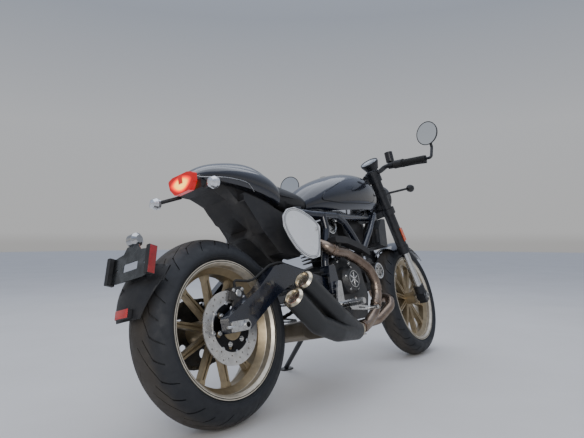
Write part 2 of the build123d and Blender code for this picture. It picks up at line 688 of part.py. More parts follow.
def tail_unit():
    """Black moulding under the seat that carries the lamps and hides the battery."""
    outline = [
        (-22, 792), (8, 732), (24, 700), (76, 662), (112, 640), (150, 634), (205, 622), (262, 580), (300, 545),
        (340, 520), (420, 560), (500, 640), (500, 750), (352, 766), (270, 796), (160, 822), (40, 838), (-22, 844),
    ]
    core = slab(outline, -66, 66, 8)
    right_flare = slab(
        [(230, 640), (300, 560), (420, 540), (498, 646), (494, 692), (400, 706), (352, 722), (250, 766), (150, 792),
         (150, 760)],
        -96,
        -66,
        8,
    )
    stalks = [rod((-4, 60 if y > 0 else -60, 806), (x, y, z), 7) for x, y, z in REAR_INDICATORS]
    whole = core + right_flare + other_side(right_flare) + stalks
    for place in REAR_INDICATORS:
        whole -= indicator_lens(*place, FIT)
    whole -= body_loft(grown(SEAT_SECTIONS, FIT)) + body_loft(grown(COWL_SECTIONS, FIT))
    return whole - rod(SHOCK_LOW - SHOCK_WAY * 30, SHOCK_HIGH + SHOCK_WAY * 30, SHOCK_R + 8)


def indicator_lens(x, y, z, grow=0.0):
    """Bullet-shaped lens that points back."""
    profile = [(-22 - grow, 0), (-22 - grow, 6), (-16, 16 + grow), (0, 22 + grow), (12, 20 + grow), (22, 10 + grow),
               (24 + grow, 4), (24 + grow, 0)]
    return Pos(x, y, z) * revolve(Plane.XZ * make_face(Polyline(*profile, close=True)), Axis.X)


def rear_indicator_lenses():
    return [indicator_lens(*place) for place in REAR_INDICATORS]


def tail_light():
    """Shield-shaped lamp in the tail's rear end."""
    outline = [(-66, 858), (-40, 866), (40, 866), (66, 858), (62, 826), (40, 800), (-40, 800), (-62, 826)]
    face = make_face(FilletPolyline(*outline, radius=8, close=True))
    return extrude(Plane.YZ.offset(COWL_END - FIT - 22) * face, 22)


SIDE_PLATE_OUTLINE = [
    (281, 690), (311, 718), (356, 727), (408, 714), (462, 690), (508, 653), (469, 528), (420, 520), (376, 530),
    (330, 562), (297, 606), (276, 648),
]
SIDE_PLATE_Y = -160.0


def side_plates():
    """Blank number plates on both flanks."""
    plate = slab(SIDE_PLATE_OUTLINE, SIDE_PLATE_Y, SIDE_PLATE_Y + 6, 12)
    post = rod((476, SIDE_PLATE_Y + 6, 640), (476, -96 - FIT, 640), 12)
    return both_sides(plate + post)


SHOCK_LOW = Vector(322, 112, 512)
SHOCK_HIGH = Vector(428, 112, 695.5)
SHOCK_PIN_R = 6.0
SHOCK_WAY = (SHOCK_HIGH - SHOCK_LOW).normalized()
SHOCK_R = 31.0

# Rear end: damper, caliper, low plate carrier and its lamp

def rear_shock():
    eye = Vector(0, 14, 0)
    body = rod(SHOCK_LOW, SHOCK_HIGH, 15)
    body += rod(SHOCK_LOW + SHOCK_WAY * 42, SHOCK_HIGH - SHOCK_WAY * 34, SHOCK_R)
    for end in (SHOCK_LOW, SHOCK_HIGH):
        body += rod(end - eye, end + eye, 15)
    for end in (SHOCK_LOW, SHOCK_HIGH):
        body -= rod(end - eye * 2, end + eye * 2, SHOCK_PIN_R + FIT)
    return body


def rear_caliper():
    """Two-piston caliper over the disc, on an arm that hangs on the axle."""
    low, high = REAR_DISC_Y - 16, REAR_DISC_Y + 20
    block = slab([(2, 404), (20, 446), (62, 446), (76, 410), (50, 392)], low, high, 6)
    block -= rod((0, REAR_DISC_Y - 4, REAR_RADIUS), (0, REAR_DISC_Y + 4, REAR_RADIUS), REAR_DISC_R + 2, 60)
    arm = slab([(-16, 330), (-16, 300), (16, 300), (30, 340), (64, 400), (20, 410)], -98, -90, 8)
    arm -= rod((0, -110, REAR_RADIUS), (0, -80, REAR_RADIUS), REAR_AXLE_R + FIT)
    return block + arm


GUARD_HALF = 110.0
GUARD_RADIUS = 342.0
GUARD_LOW = -79.0  # degrees from straight up, turning back
GUARD_HIGH = -48.0


def plate_guard():
    """Short mudguard behind the rear tyre, on an arm from the left leg of the swinging arm."""
    outline = [
        ThreePointArc((-GUARD_HALF, GUARD_RADIUS - 26), (0, GUARD_RADIUS), (GUARD_HALF, GUARD_RADIUS - 26)),
        Line((GUARD_HALF, GUARD_RADIUS - 26), (GUARD_HALF, GUARD_RADIUS - 22)),
        ThreePointArc((GUARD_HALF, GUARD_RADIUS - 22), (0, GUARD_RADIUS + 5), (-GUARD_HALF, GUARD_RADIUS - 22)),
        Line((-GUARD_HALF, GUARD_RADIUS - 22), (-GUARD_HALF, GUARD_RADIUS - 26)),
    ]
    swept = revolve(Plane.YZ * make_face(outline), Axis.Y, GUARD_HIGH - GUARD_LOW)
    swept = swept.rotate(Axis.Y, GUARD_LOW).translate(REAR_AXLE)
    taper = make_face(Polyline((-58, 385), (58, 385), (GUARD_HALF, 500), (GUARD_HALF, 600), (-GUARD_HALF, 600),
                               (-GUARD_HALF, 500), close=True))
    guard = swept & extrude(Plane.YZ.offset(-420) * taper, 300)
    start = Vector(90, ARM_OUTER_LEFT + FIT, 385)
    arm = rod(start, start + Vector(0, 20, 0), 13)
    route = [start + Vector(0, 11, 0), Vector(-60, 166, 376), Vector(-230, 166, 404), Vector(-344, 128, 458),
             Vector(-295, 56, 480)]
    return guard + arm + tube(route, 9, 22)


BRACKET_X, BRACKET_Z = -312.0, 505.0
BRACKET_TILT = 16.0
BRACKET_HALF = 95.0
BRACKET_HIGH = 92.0


def bracket_place(piece):
    """From the bracket's own upright plane to its place behind the wheel, its top leaning forward."""
    return piece.rotate(Axis.Y, BRACKET_TILT).translate((BRACKET_X, 0, BRACKET_Z))


def plate_bracket():
    """Pressed sheet that carries the licence plate, with a slot and two bolt holes."""
    face = make_face(FilletPolyline(
        (-BRACKET_HALF, 6), (-70, 0), (70, 0), (BRACKET_HALF, 6), (BRACKET_HALF, 84), (44, BRACKET_HIGH),
        (30, 112), (-30, 112), (-44, BRACKET_HIGH), (-BRACKET_HALF, 84), radius=4, close=True))
    face -= Pos(0, 44) * RectangleRounded(74, 26, 4)
    for side in (-1, 1):
        face -= Pos(side * 70, 44) * Circle(PLATE_HOLE_R)
    sheet = extrude(Plane.YZ * face, 3)
    sheet += extrude(Plane.YZ.offset(3) * (Pos(0, 22) * Rectangle(60, 20)), 40)
    reach = GUARD_RADIUS + 5 + FIT
    return bracket_place(sheet) - rod((0, -200, REAR_RADIUS), (0, 200, REAR_RADIUS), reach)


PLATE_HOLE_R = 3.3


def plate_reflectors():
    """One block reflector at each end of the bracket and a low one on the mudguard's tip."""
    side = extrude(Plane.YZ.offset(-14) * RectangleRounded(18, 88, 3), 26)
    pair = [bracket_place(side.translate((0, way * (BRACKET_HALF + 9 + FIT), 45))) for way in (-1, 1)]
    slope = 14.9
    reach = GUARD_RADIUS + 5 + FIT + 14
    low = extrude(Plane.YZ * RectangleRounded(66, 28, 3), 14).rotate(Axis.Y, slope)
    low = low.translate((-reach * cos(radians(slope)), 0, REAR_RADIUS + reach * sin(radians(slope))))
    return pair + [low]


def plate_lamp():
    """Small chromed lamp on the bracket's upper tab."""
    hood = turned([(-26, 0), (-26, 12), (-14, 22), (14, 22), (26, 12), (26, 0)], (4, 0, 130))
    hood -= slab([(-40, 60), (60, 60), (60, 112 + FIT), (-40, 112 + FIT)], -60, 60)
    return bracket_place(hood)


def regulator():
    """Ribbed box ahead of the engine, on the right."""
    box = slab([(1000, 575), (1066, 562), (1096, REGULATOR_TOP), (1058, REGULATOR_TOP), (1016, 660)], -150, -58, 6)
    for number in range(4):
        y_middle = -138 + number * 23
        box += slab([(992, 590), (1006, 588), (1018, 656), (1004, 656)], y_middle - 4, y_middle + 4)
    return box


PEG_X, PEG_Z = 526.0, 326.0
HANGER_OUT = PLATE_INNER - 26


def footrests():
    """Ribbed pegs on forged brackets, one each side."""
    outline = [(500, 330), (520, 398), (530, 424), (554, 422), (550, 318), (534, 302), (508, 306)]
    bracket = slab(outline, HANGER_OUT, HANGER_OUT + 8, 8)
    spacer = rod((541, HANGER_OUT, 410), (541, PLATE_INNER - 10 - FIT, 410), 9)
    peg = rod((PEG_X, HANGER_OUT, PEG_Z), (PEG_X, -286, PEG_Z), 12)
    for number in range(8):
        y_rib = -202 - number * 11
        ribs = [(PEG_X - 14, PEG_Z), (PEG_X, PEG_Z + 14), (PEG_X + 14, PEG_Z), (PEG_X, PEG_Z - 14)]
        peg += slab(ribs, y_rib - 3, y_rib + 3)
    return both_sides(bracket + spacer + peg)


def foot_levers():
    """Brake pedal on the right and gear lever on the left."""
    arm = slab([(536, 326), (548, 300), (690, 284), (696, 300), (560, 322)], -208, -200, 4)
    arm -= slab([(600, 301), (650, 295), (650, 300), (600, 307)], -220, -190)
    pad = rod((690, -200, 292), (690, -246, 292), 8)
    hub = rod((545, -208, 312), (545, HANGER_OUT - FIT, 312), 5)
    pedal = arm + pad + hub
    return pedal, other_side(pedal)


# Side stand: a tube leg with a flat foot, hinged on a lug under the crankcase

STAND_X, STAND_Y, STAND_Z = 606.0, 126.0, 226.0
FOOT_X, FOOT_Y = 720.0, 345.0  # on the road, with the machine parked
FOOT_THICK = 6.0
LEG_R = 11.0
KNUCKLE_HALF = 12.0


def from_parked(x, y, z):
    """Point of the upright machine that is at (x, y, z) on the road once it leans."""
    lean = radians(LEAN)
    z -= floor_lift()
    return Vector(x, y * cos(lean) - z * sin(lean), y * sin(lean) + z * cos(lean))


STAND_PIVOT = Vector(STAND_X, STAND_Y, STAND_Z)
FOOT = from_parked(FOOT_X, FOOT_Y, 0)
STAND_DOWN = (FOOT - STAND_PIVOT).normalized()
STAND_UP = Vector(-0.96, 0.2, -0.2).normalized()
SWING = (STAND_DOWN - STAND_UP).normalized()
STAND_AXIS = (Vector(0, 1, 0) - SWING * SWING.Y).normalized()


STAND_RADIAL = (STAND_DOWN - STAND_AXIS * STAND_DOWN.dot(STAND_AXIS)).normalized()
LEG_ROOT = STAND_PIVOT + STAND_RADIAL * 27


def side_stand():
    level = Plane(origin=from_parked(FOOT_X, FOOT_Y, 0), x_dir=(1, 0, 0),
                  z_dir=from_parked(0, 0, 1) - from_parked(0, 0, 0))
    foot = extrude(level * RectangleRounded(74, 46, 16), FOOT_THICK)
    leg_end = from_parked(FOOT_X, FOOT_Y, FOOT_THICK + 2) - STAND_DOWN * 4
    knuckle = rod(STAND_PIVOT - STAND_AXIS * KNUCKLE_HALF, STAND_PIVOT + STAND_AXIS * KNUCKLE_HALF, 20)
    neck = rod(STAND_PIVOT + STAND_RADIAL * 10, LEG_ROOT, LEG_R)
    leg = rod(LEG_ROOT, leg_end, LEG_R) + Pos(*LEG_ROOT) * Sphere(LEG_R)
    whole = foot + leg + neck + knuckle
    return whole - rod(STAND_PIVOT - STAND_AXIS * 30, STAND_PIVOT + STAND_AXIS * 30, 8 + RUNNING)


def stand_bracket():
    """Fork-shaped lug on the crankcase with the stand's pin through it."""
    inner = STAND_PIVOT - STAND_AXIS * (KNUCKLE_HALF + FIT)
    outer = STAND_PIVOT + STAND_AXIS * (KNUCKLE_HALF + FIT)
    pin = rod(inner, outer, 8)
    cap = rod(outer, outer + STAND_AXIS * 5, 14)
    seat = rod(inner - STAND_AXIS * 14, inner, 18)
    plate = slab([(590, 214), (626, 208), (656, 262), (640, 300), (606, 300)], CASE_HALF, CASE_HALF + 8, 6)
    return pin + cap + seat + plate


# Fork: two yokes on a stem, outer tubes, bright stanchions and cast feet

def steer_plane(along):
    """Plane across the steering axis: its x is ahead, its y the rider's left."""
    return Plane(origin=on_steering(along), x_dir=(AXIS_Z, 0, -AXIS_X), z_dir=(AXIS_X, 0, AXIS_Z))


CLAMP_R = OUTER_TUBE_R + 9


def yoke(along, ears):
    outline = [(-26, -34), (FORK_AHEAD - 20, -FORK_HALF), (FORK_AHEAD + 18, -FORK_HALF), (FORK_AHEAD + 14, -30)]
    outline += [(x, -y) for x, y in reversed(outline)]
    face = make_face(Polyline(*outline, close=True)) + Circle(34)
    for side in (-1, 1):
        face += Pos(FORK_AHEAD, side * FORK_HALF) * Circle(CLAMP_R)
    for side in (-1, 1):
        face -= Pos(FORK_AHEAD, side * FORK_HALF) * Circle(OUTER_TUBE_R + FIT)
    return extrude(steer_plane(along) * face, ears)


def fork_yokes():
    stem = rod(on_steering(LOWER_YOKE + 2), on_steering(UPPER_YOKE + YOKE_THICK), STEM_R)
    nut = extrude(steer_plane(UPPER_YOKE + YOKE_THICK - 4) * RegularPolygon(19, 6), 14)
    return yoke(LOWER_YOKE, YOKE_THICK) + yoke(UPPER_YOKE, YOKE_THICK) + stem + nut


def fork_leg(side, start, end, radius, bore=0.0):
    left = side * FORK_HALF
    return rod(on_steering(start, FORK_AHEAD, left), on_steering(end, FORK_AHEAD, left), radius, bore)


STANCHION_IN = 130.0
FOOT_HIGH = 62.0


def fork_outer_tubes():
    pieces = []
    for side in (-1, 1):
        outer = fork_leg(side, OUTER_TUBE_END, FORK_TOP, OUTER_TUBE_R)
        outer += fork_leg(side, OUTER_TUBE_END - 6, OUTER_TUBE_END + 34, OUTER_TUBE_R + 4)
        outer += fork_leg(side, FORK_TOP - 2, FORK_TOP + 8, OUTER_TUBE_R - 8)
        bore_top = OUTER_TUBE_END + STANCHION_IN + 40
        pieces.append(outer - fork_leg(side, OUTER_TUBE_END - 20, bore_top, STANCHION_R + FIT))
    return pieces


def fork_stanchions():
    start = AXLE_ALONG + FOOT_HIGH - 40
    return [fork_leg(side, start, OUTER_TUBE_END + STANCHION_IN, STANCHION_R) for side in (-1, 1)]


def fork_feet():
    pieces = []
    for side in (-1, 1):
        foot = fork_leg(side, AXLE_ALONG + 20, AXLE_ALONG + FOOT_HIGH, STANCHION_R + 8)
        y_low, y_high = sorted((side * 77.0, side * 122.0))
        centre = FRONT_AXLE
        foot += rod((centre.X, y_low, centre.Z), (centre.X, y_high, centre.Z), 29)
        foot += extrude(foot_block(side, 0), 64)
        foot -= rod((centre.X, y_low - 5, centre.Z), (centre.X, y_high + 5, centre.Z), FRONT_AXLE_R + FIT)
        foot -= fork_leg(side, AXLE_ALONG + 22 - FIT, AXLE_ALONG + FOOT_HIGH + 10, STANCHION_R + FIT)
        pieces.append(foot)
    return pieces


def front_axle():
    centre = FRONT_AXLE
    bar = rod((centre.X, -132, centre.Z), (centre.X, 132, centre.Z), FRONT_AXLE_R)
    nut = extrude(Plane.XZ.offset(132) * RegularPolygon(17, 6), -9.5)
    bar += nut.translate((centre.X, 0, centre.Z))
    return bar - rod((centre.X, -150, centre.Z), (centre.X, 150, centre.Z), FRONT_AXLE_BORE)


FRONT_DISC_R = 165.0
FRONT_DISC_Y = 60.0
FRONT_HUB_R = 32.0
FRONT_HUB_HALF = 64.0


CALIPER_PORT = Vector(-126, 80, 116)  # from the front axle
PORT_WAY = Vector(-0.3, 0, 1).normalized()


def front_caliper():
    """Radial caliper behind the left leg, on two lugs of the fork foot."""
    place = Pos(*FRONT_AXLE)
    block = slab([(-150, 24), (-172, 74), (-140, 128), (-98, 108), (-118, 70), (-112, 26)], 40, 90, 8)
    slot = FRONT_DISC_Y - DISC_THICK / 2 - 3, FRONT_DISC_Y + DISC_THICK / 2 + 3
    block -= rod((0, slot[0], 0), (0, slot[1], 0), FRONT_DISC_R + 4, 60)
    lugs = slab([(-116, 40), (-20, 20), (-40, 60), (-104, 98)], 80, 90, 6)
    port = rod(CALIPER_PORT - PORT_WAY * 8, CALIPER_PORT + PORT_WAY * 16, 7)
    whole = place * (block + lugs + port)
    whole -= fork_leg(1, AXLE_ALONG, AXLE_ALONG + 120, STANCHION_R + 8 + FIT)
    return whole - extrude(foot_block(1, FIT), 64 + 2 * FIT)


def foot_block(side, grow):
    """Section of the axle lug across the fork leg, grown all round by a gap."""
    section = Pos(FORK_AHEAD, side * 99.5) * RectangleRounded(46 + 2 * grow, 45 + 2 * grow, 8)
    return steer_plane(AXLE_ALONG - 34 - grow) * section


MUDGUARD_GAP = 20.0
MUDGUARD_HALF = 60.0


def front_mudguard():
    inner = FRONT_RADIUS + MUDGUARD_GAP
    outline = [
        ThreePointArc((-MUDGUARD_HALF, inner - 34), (0, inner), (MUDGUARD_HALF, inner - 34)),
        Line((MUDGUARD_HALF, inner - 34), (MUDGUARD_HALF + 3, inner - 33)),
        ThreePointArc((MUDGUARD_HALF + 3, inner - 33), (0, inner + 3.5), (-MUDGUARD_HALF - 3, inner - 33)),
        Line((-MUDGUARD_HALF - 3, inner - 33), (-MUDGUARD_HALF, inner - 34)),
    ]
    blade = revolve(Plane.YZ * make_face(outline), Axis.Y, 74).rotate(Axis.Y, -28)
    blade = Pos(*FRONT_AXLE) * blade
    stays = []
    edge = inner - 32
    for side in (-1, 1):
        low = on_steering(AXLE_ALONG + 44, FORK_AHEAD + STANCHION_R + 8 + 4 + FIT, side * 94.0)
        for angle in (84, 102):
            turn = radians(angle)
            high = FRONT_AXLE + Vector(edge * cos(turn), side * (MUDGUARD_HALF + 4), edge * sin(turn))
            stays.append(rod(low, high, 4))
    return blade + stays


# Controls: low bars with grips, levers, mirrors at the bar ends, gauge and lamps

BAR_R = 11.0
BAR_IN = on_steering(FORK_TOP - 10, FORK_AHEAD, FORK_HALF + OUTER_TUBE_R + 6.5)
BAR_BEND = Vector(1180, 172, 986)
BAR_OUT = Vector(1158, 398, 946)
GRIP_R = 17.0
GRIP_LONG = 122.0
BAR_WAY = (BAR_OUT - BAR_BEND).normalized()
LEVER_WAY = Vector(0.97, 0.1, -0.1)
AHEAD = (LEVER_WAY - BAR_WAY * LEVER_WAY.dot(BAR_WAY)).normalized()  # from a bar across to its lever
PUMP_AHEAD = 22.0


def bar_ways():
    way = (BAR_OUT - BAR_BEND).normalized()
    return way, BAR_OUT - way * GRIP_LONG


def handlebars():
    way, _ = bar_ways()
    left = tube([BAR_IN, BAR_BEND, BAR_OUT + way * 4], BAR_R, 40)
    clamp = fork_leg(1, UPPER_YOKE + YOKE_THICK + 0.5, FORK_TOP + 4, OUTER_TUBE_R + 8)
    clamp -= fork_leg(1, UPPER_YOKE, FORK_TOP + 20, OUTER_TUBE_R + FIT)
    return both_sides(clamp + left)


def grips():
    way, start = bar_ways()
    grip = rod(start, BAR_OUT, GRIP_R, BAR_R + FIT)
    flange = rod(start - way * 4, start, GRIP_R + 5, BAR_R + FIT)
    return both_sides(grip + flange)


def hand_controls():
    """Switch pod, master cylinder with its reservoir, and the hooked lever, on each bar."""
    way, start = bar_ways()
    pod = rod(start - way * 52, start - way * 6, 21, BAR_R + FIT)
    perch = rod(start - way * 84, start - way * 56, 18, BAR_R + FIT)
    ahead = AHEAD
    cylinder_start = start - way * 70 + ahead * 14
    cup_foot = start - way * 70 + Vector(6, 0, 14)
    perch += rod(start - way * 84 + ahead * PUMP_AHEAD, start - way * 56 + ahead * PUMP_AHEAD, 10)
    perch += rod(cylinder_start, cylinder_start + ahead * 34, 9) + rod(cup_foot, cup_foot + Vector(0, 0, 14), 8)
    knuckle = cylinder_start + ahead * 30
    lever = tube([knuckle, knuckle + way * 40 + ahead * 8, knuckle + way * 120 + ahead * 6,
                  knuckle + way * 168 + ahead * 18], 6.5, 18)
    cup_low = start - way * 74 + Vector(6, 0, 20)
    cup = rod(cup_low, cup_low + Vector(0, 0, 52), 21)
    return both_sides(pod), both_sides(perch + lever + cup)


def mirrors():
    """Round mirror on a bent stalk that clamps in the end of each bar."""
    way, _ = bar_ways()
    root = BAR_OUT + way * 4.3
    stalk_out = root + way * 26
    top = MIRROR_CENTRE + MIRROR_FACE * -10
    stalk = tube([root, stalk_out, stalk_out + Vector(24, 8, 56), top], 7, 12)
    shell = Plane(origin=MIRROR_CENTRE, z_dir=MIRROR_FACE)
    head = extrude(shell.offset(-13) * Circle(46), 8)
    head += loft([shell.offset(-6) * Circle(MIRROR_R - 2), shell.offset(3) * Circle(MIRROR_R)])
    head -= extrude(shell * Circle(MIRROR_R - 4), 10)
    return both_sides(stalk + head)


MIRROR_CENTRE = Vector(1172, 432, 1070)
MIRROR_FACE = Vector(-0.97, -0.22, 0.08).normalized()
MIRROR_R = 60.0


def mirror_glasses():
    shell = Plane(origin=MIRROR_CENTRE, z_dir=MIRROR_FACE)
    return both_sides(extrude(shell.offset(FIT) * Circle(MIRROR_R - 4 - FIT), 2.2))


LAMP_X, LAMP_Z, LAMP_R = 1330.0, 862.0, 90.0


def headlight():
    profile = [(-80, 0), (-78, 30), (-56, 66), (-20, 84), (20, LAMP_R), (34, LAMP_R), (34, LAMP_R - 6), (22, LAMP_R - 8),
               (22, 0)]
    bowl = Pos(LAMP_X, 0, LAMP_Z) * revolve(Plane.XZ * make_face(Polyline(*profile, close=True)), Axis.X)
    along = (LAMP_Z + FORK_AHEAD * AXIS_X) / AXIS_Z
    whole = bowl
    for side in (-1, 1):
        ring = fork_leg(side, along - 14, along + 14, OUTER_TUBE_R + 6)
        arm_low, arm_high = sorted((side * 86.0, side * 96.0))
        arm = slab([(1216, 846), (LAMP_X - 10, 842), (LAMP_X + 8, 862), (LAMP_X - 10, 882), (1216, 878)], arm_low, arm_high)
        whole += (ring + arm) - fork_leg(side, along - 60, along + 60, OUTER_TUBE_R + FIT)
    return whole


def headlight_lens():
    profile = [(22 + FIT, 0), (22 + FIT, LAMP_R - 8 - FIT), (30, LAMP_R - 8 - FIT), (44, 50), (48, 0)]
    return Pos(LAMP_X, 0, LAMP_Z) * revolve(Plane.XZ * make_face(Polyline(*profile, close=True)), Axis.X)


GAUGE_CENTRE = Vector(1268, -50, 1062)
GAUGE_FACE = Vector(-0.55, 0, 0.83).normalized()
GAUGE_R = 50.0


def gauge():
    dial = Plane(origin=GAUGE_CENTRE, z_dir=GAUGE_FACE)
    case = loft([dial.offset(-46) * Circle(34), dial.offset(-8) * Circle(GAUGE_R)])
    case += extrude(dial.offset(-8) * Circle(GAUGE_R), 10)
    case -= extrude(dial.offset(-1) * Circle(GAUGE_R - 5), 10)
    low = on_steering(UPPER_YOKE + YOKE_THICK + 0.5, FORK_AHEAD + 6, -44)
    foot = rod(low, low + Vector(AXIS_X, 0, AXIS_Z) * 11, 12)
    return case + foot + rod(low + Vector(AXIS_X, 0, AXIS_Z) * 9, GAUGE_CENTRE - GAUGE_FACE * 40, 7)


def front_indicators():
    pieces = []
    for side in (-1, 1):
        root = Vector(1262, side * 106.0, 864)
        boss = rod((1262, side * (96 + FIT), 864), (1262, side * 110.0, 864), 9)
        tip = Vector(1392, side * 196.0, 880)
        stalk = rod(root, tip - Vector(10, side * 6, 0), 6)
        profile = [(-30, 0), (-22, 12), (-4, 20), (14, 20), (26, 12), (30, 0)]
        body = revolve(Plane.XZ * make_face(Polyline(*profile, close=True)), Axis.X)
        pieces.append(boss + stalk + Pos(*tip) * body)
    return pieces


REAR_HOSE = [  # from the rear caliper forward along the top of the arm's right leg to the frame's lug
    (44, -82, 446 + FIT), (44, -82, 470), (100, -112, 458), (195, -120, 509), (258, -120, 519), (355, -118, 493),
    (450, -120, 467), (486, -130, 467), (508 - FIT, -130, 467),
]
FRONT_HOSE = [  # from the front caliper up the left leg, across ahead of the head to the right bar
    FRONT_AXLE + CALIPER_PORT + PORT_WAY * (16 + FIT), FRONT_AXLE + CALIPER_PORT + PORT_WAY * 34, on_steering(520, -14, 128), on_steering(600, -8, 138),
    on_steering(760, 2, 141), on_steering(918, 30, 146), on_steering(975, 66, 134), on_steering(1004, 88, 60),
    on_steering(1006, 86, -60), on_steering(1024, 66, -140),
]
HOSE_R = 4.5


def hose(points):
    return tube(points, HOSE_R, 60)


def front_hose():
    way, start = bar_ways()
    end = start - way * (84 + FIT) + AHEAD * PUMP_AHEAD
    end = Vector(end.X, -end.Y, end.Z)
    approach = end + Vector(way.X, -way.Y, way.Z) * -26
    return hose(FRONT_HOSE + [approach, end])


def write_all():
    os.makedirs("parts", exist_ok=True)
    write("rear_tyre", tyre(REAR_RADIUS, REAR_WIDTH, REAR_CROWN, REAR_RIM_HALF, REAR_AXLE))
    write("rear_wheel", wheel(REAR_RIM_HALF, REAR_HUB_R, REAR_DISC_Y - 5, SPROCKET_Y + 4, REAR_AXLE_R + RUNNING, REAR_AXLE))
    write("rear_disc", brake_disc(REAR_DISC_R, 42, REAR_HUB_R + FIT, REAR_DISC_Y, REAR_AXLE, 12))
    write("rear_sprocket", sprocket(REAR_TEETH, REAR_HUB_R + FIT, SPROCKET_Y, REAR_AXLE, 5))
    front = FRONT_AXLE
    write("front_tyre", tyre(FRONT_RADIUS, FRONT_WIDTH, FRONT_CROWN, FRONT_RIM_HALF, front), steered=True)
    write("front_wheel", wheel(FRONT_RIM_HALF, FRONT_HUB_R, -FRONT_HUB_HALF, FRONT_HUB_HALF, FRONT_AXLE_R + RUNNING, front), steered=True)
    write("front_disc", brake_disc(FRONT_DISC_R, 34, FRONT_HUB_R + FIT, FRONT_DISC_Y, front, 18), steered=True)
    write("swingarm", swingarm())
    write("rear_axle", rear_axle())
    write("drive_chain", drive_chain())
    write("rear_shock", rear_shock())
    write("rear_caliper", rear_caliper())
    write("plate_guard", plate_guard())
    write("plate_bracket", plate_bracket())
    write("plate_reflectors", *plate_reflectors())
    write("plate_lamp", plate_lamp())
    write("main_frame", main_frame())
    write("engine_block", *engine_block())
    write("cylinders", cylinder(-VEE_TILT), cylinder(90 - VEE_TILT))
    write("crankcase_covers", *crankcase_covers())
    write("belt_covers", *belt_covers())
    write("exhaust_headers", *exhaust_headers())
    write("heat_guard", heat_guard())
    write("exhaust_box", exhaust_box())
    write("silencers", silencers())
    write("fuel_tank", fuel_tank())
    write("tank_panels", *tank_panels())
    write("seat", seat())
    write("seat_cowl", seat_cowl())
    write("tail_unit", tail_unit())
    write("rear_indicator_lenses", *rear_indicator_lenses())
    write("tail_light", tail_light())
    write("side_plates", *side_plates())
    write("regulator", regulator())
    write("footrests", *footrests())
    write("foot_levers", *foot_levers())
    write("stand_bracket", stand_bracket())
    write("rear_brake_hose", hose(REAR_HOSE))
    write("side_stand", side_stand())
    write("fork_yokes", fork_yokes(), steered=True)
    write("fork_outer_tubes", *fork_outer_tubes(), steered=True)
    write("fork_stanchions", *fork_stanchions(), steered=True)
    write("fork_feet", *fork_feet(), steered=True)
    write("front_axle", front_axle(), steered=True)
    write("front_caliper", front_caliper(), steered=True)
    write("front_mudguard", front_mudguard(), steered=True)
    write("handlebars", *handlebars(), steered=True)
    write("grips", *grips(), steered=True)
    pods, levers = hand_controls()
    write("switch_pods", *pods, steered=True)
    write("hand_levers", *levers, steered=True)
    write("mirrors", *mirrors(), steered=True)
    write("mirror_glasses", *mirror_glasses(), steered=True)
    write("headlight", headlight(), steered=True)
    write("headlight_lens", headlight_lens(), steered=True)
    write("gauge", gauge(), steered=True)
    write("front_indicators", *front_indicators(), steered=True)
    write("front_brake_hose", front_hose(), steered=True)


write_all()
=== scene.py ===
import math

import bpy
from mathutils import Matrix, Vector


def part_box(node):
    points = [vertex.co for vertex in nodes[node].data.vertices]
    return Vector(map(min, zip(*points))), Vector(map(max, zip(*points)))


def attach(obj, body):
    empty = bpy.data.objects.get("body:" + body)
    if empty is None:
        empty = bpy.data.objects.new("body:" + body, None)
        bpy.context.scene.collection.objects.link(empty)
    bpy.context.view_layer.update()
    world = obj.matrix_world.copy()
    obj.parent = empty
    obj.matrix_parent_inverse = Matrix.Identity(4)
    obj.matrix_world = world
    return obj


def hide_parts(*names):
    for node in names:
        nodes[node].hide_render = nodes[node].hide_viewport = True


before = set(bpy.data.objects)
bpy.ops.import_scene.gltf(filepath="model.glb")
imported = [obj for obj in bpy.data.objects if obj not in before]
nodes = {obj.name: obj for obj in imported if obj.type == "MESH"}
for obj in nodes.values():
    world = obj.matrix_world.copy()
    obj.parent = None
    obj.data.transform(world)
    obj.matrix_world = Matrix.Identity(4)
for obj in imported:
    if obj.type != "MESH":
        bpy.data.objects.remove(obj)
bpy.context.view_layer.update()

# Viewpoint
# A viewer stands behind the right of the rear wheel, eyes at about tank height.
# The lens takes in 59 degrees across.
EYE_AT, EYE_TILT, EYE_HEADING = (-1.9167, -1.4872, 0.612), 92.49, 38.55
FILM_WIDTH, FOCAL_LENGTH = 36.0, 31.89
eye = bpy.data.cameras.new("viewer")
eye.sensor_width = FILM_WIDTH
eye.lens = FOCAL_LENGTH
viewer = bpy.data.objects.new("viewer", eye)
viewer.location = EYE_AT
viewer.rotation_euler = (math.radians(EYE_TILT), 0.0, math.radians(EYE_HEADING - 90))
bpy.context.scene.collection.objects.link(viewer)
bpy.context.scene.camera = viewer

# Floor
# A plain pale slab, brushed matt, far wider than the machine.
# Its surface is faintly clouded and has a fine grit.
FLOOR_WIDTH = 60


def feed(tree, node, inputs):
    """Give a shader node its values, or link what feeds it."""
    for place, value in inputs.items():
        if isinstance(value, bpy.types.NodeSocket):
            tree.links.new(value, node.inputs[place])
        else:
            node.inputs[place].default_value = value


def fit(tree, kind, inputs=(), **settings):
    """One more shader node, with its settings and inputs."""
    made = tree.nodes.new("ShaderNode" + kind)
    for name, value in settings.items():
        setattr(made, name, value)
    feed(tree, made, dict(inputs))
    return made


def shade(tree, inputs):
    """Feed the shader that gives a material its surface."""
    feed(tree, tree.nodes["Principled BSDF"], inputs)


def noise(tree, place, scale, detail, rough=0.5):
    """Cloudy noise, from 0 to 1."""
    return fit(tree, "TexNoise", {"Vector": place, "Scale": scale, "Detail": detail,
                                  "Roughness": rough}).outputs["Fac"]


def tints(tree, factor, stops):
    """A colour ramp from a table of (position, colour)."""
    ramp = fit(tree, "ValToRGB", {"Fac": factor})
    marks = ramp.color_ramp.elements
    for mark, (position, colour) in zip(marks, (stops[0], stops[-1])):
        mark.position, mark.color = position, (*colour, 1)
    for position, colour in stops[1:-1]:
        marks.new(position).color = (*colour, 1)
    return ramp.outputs["Color"]


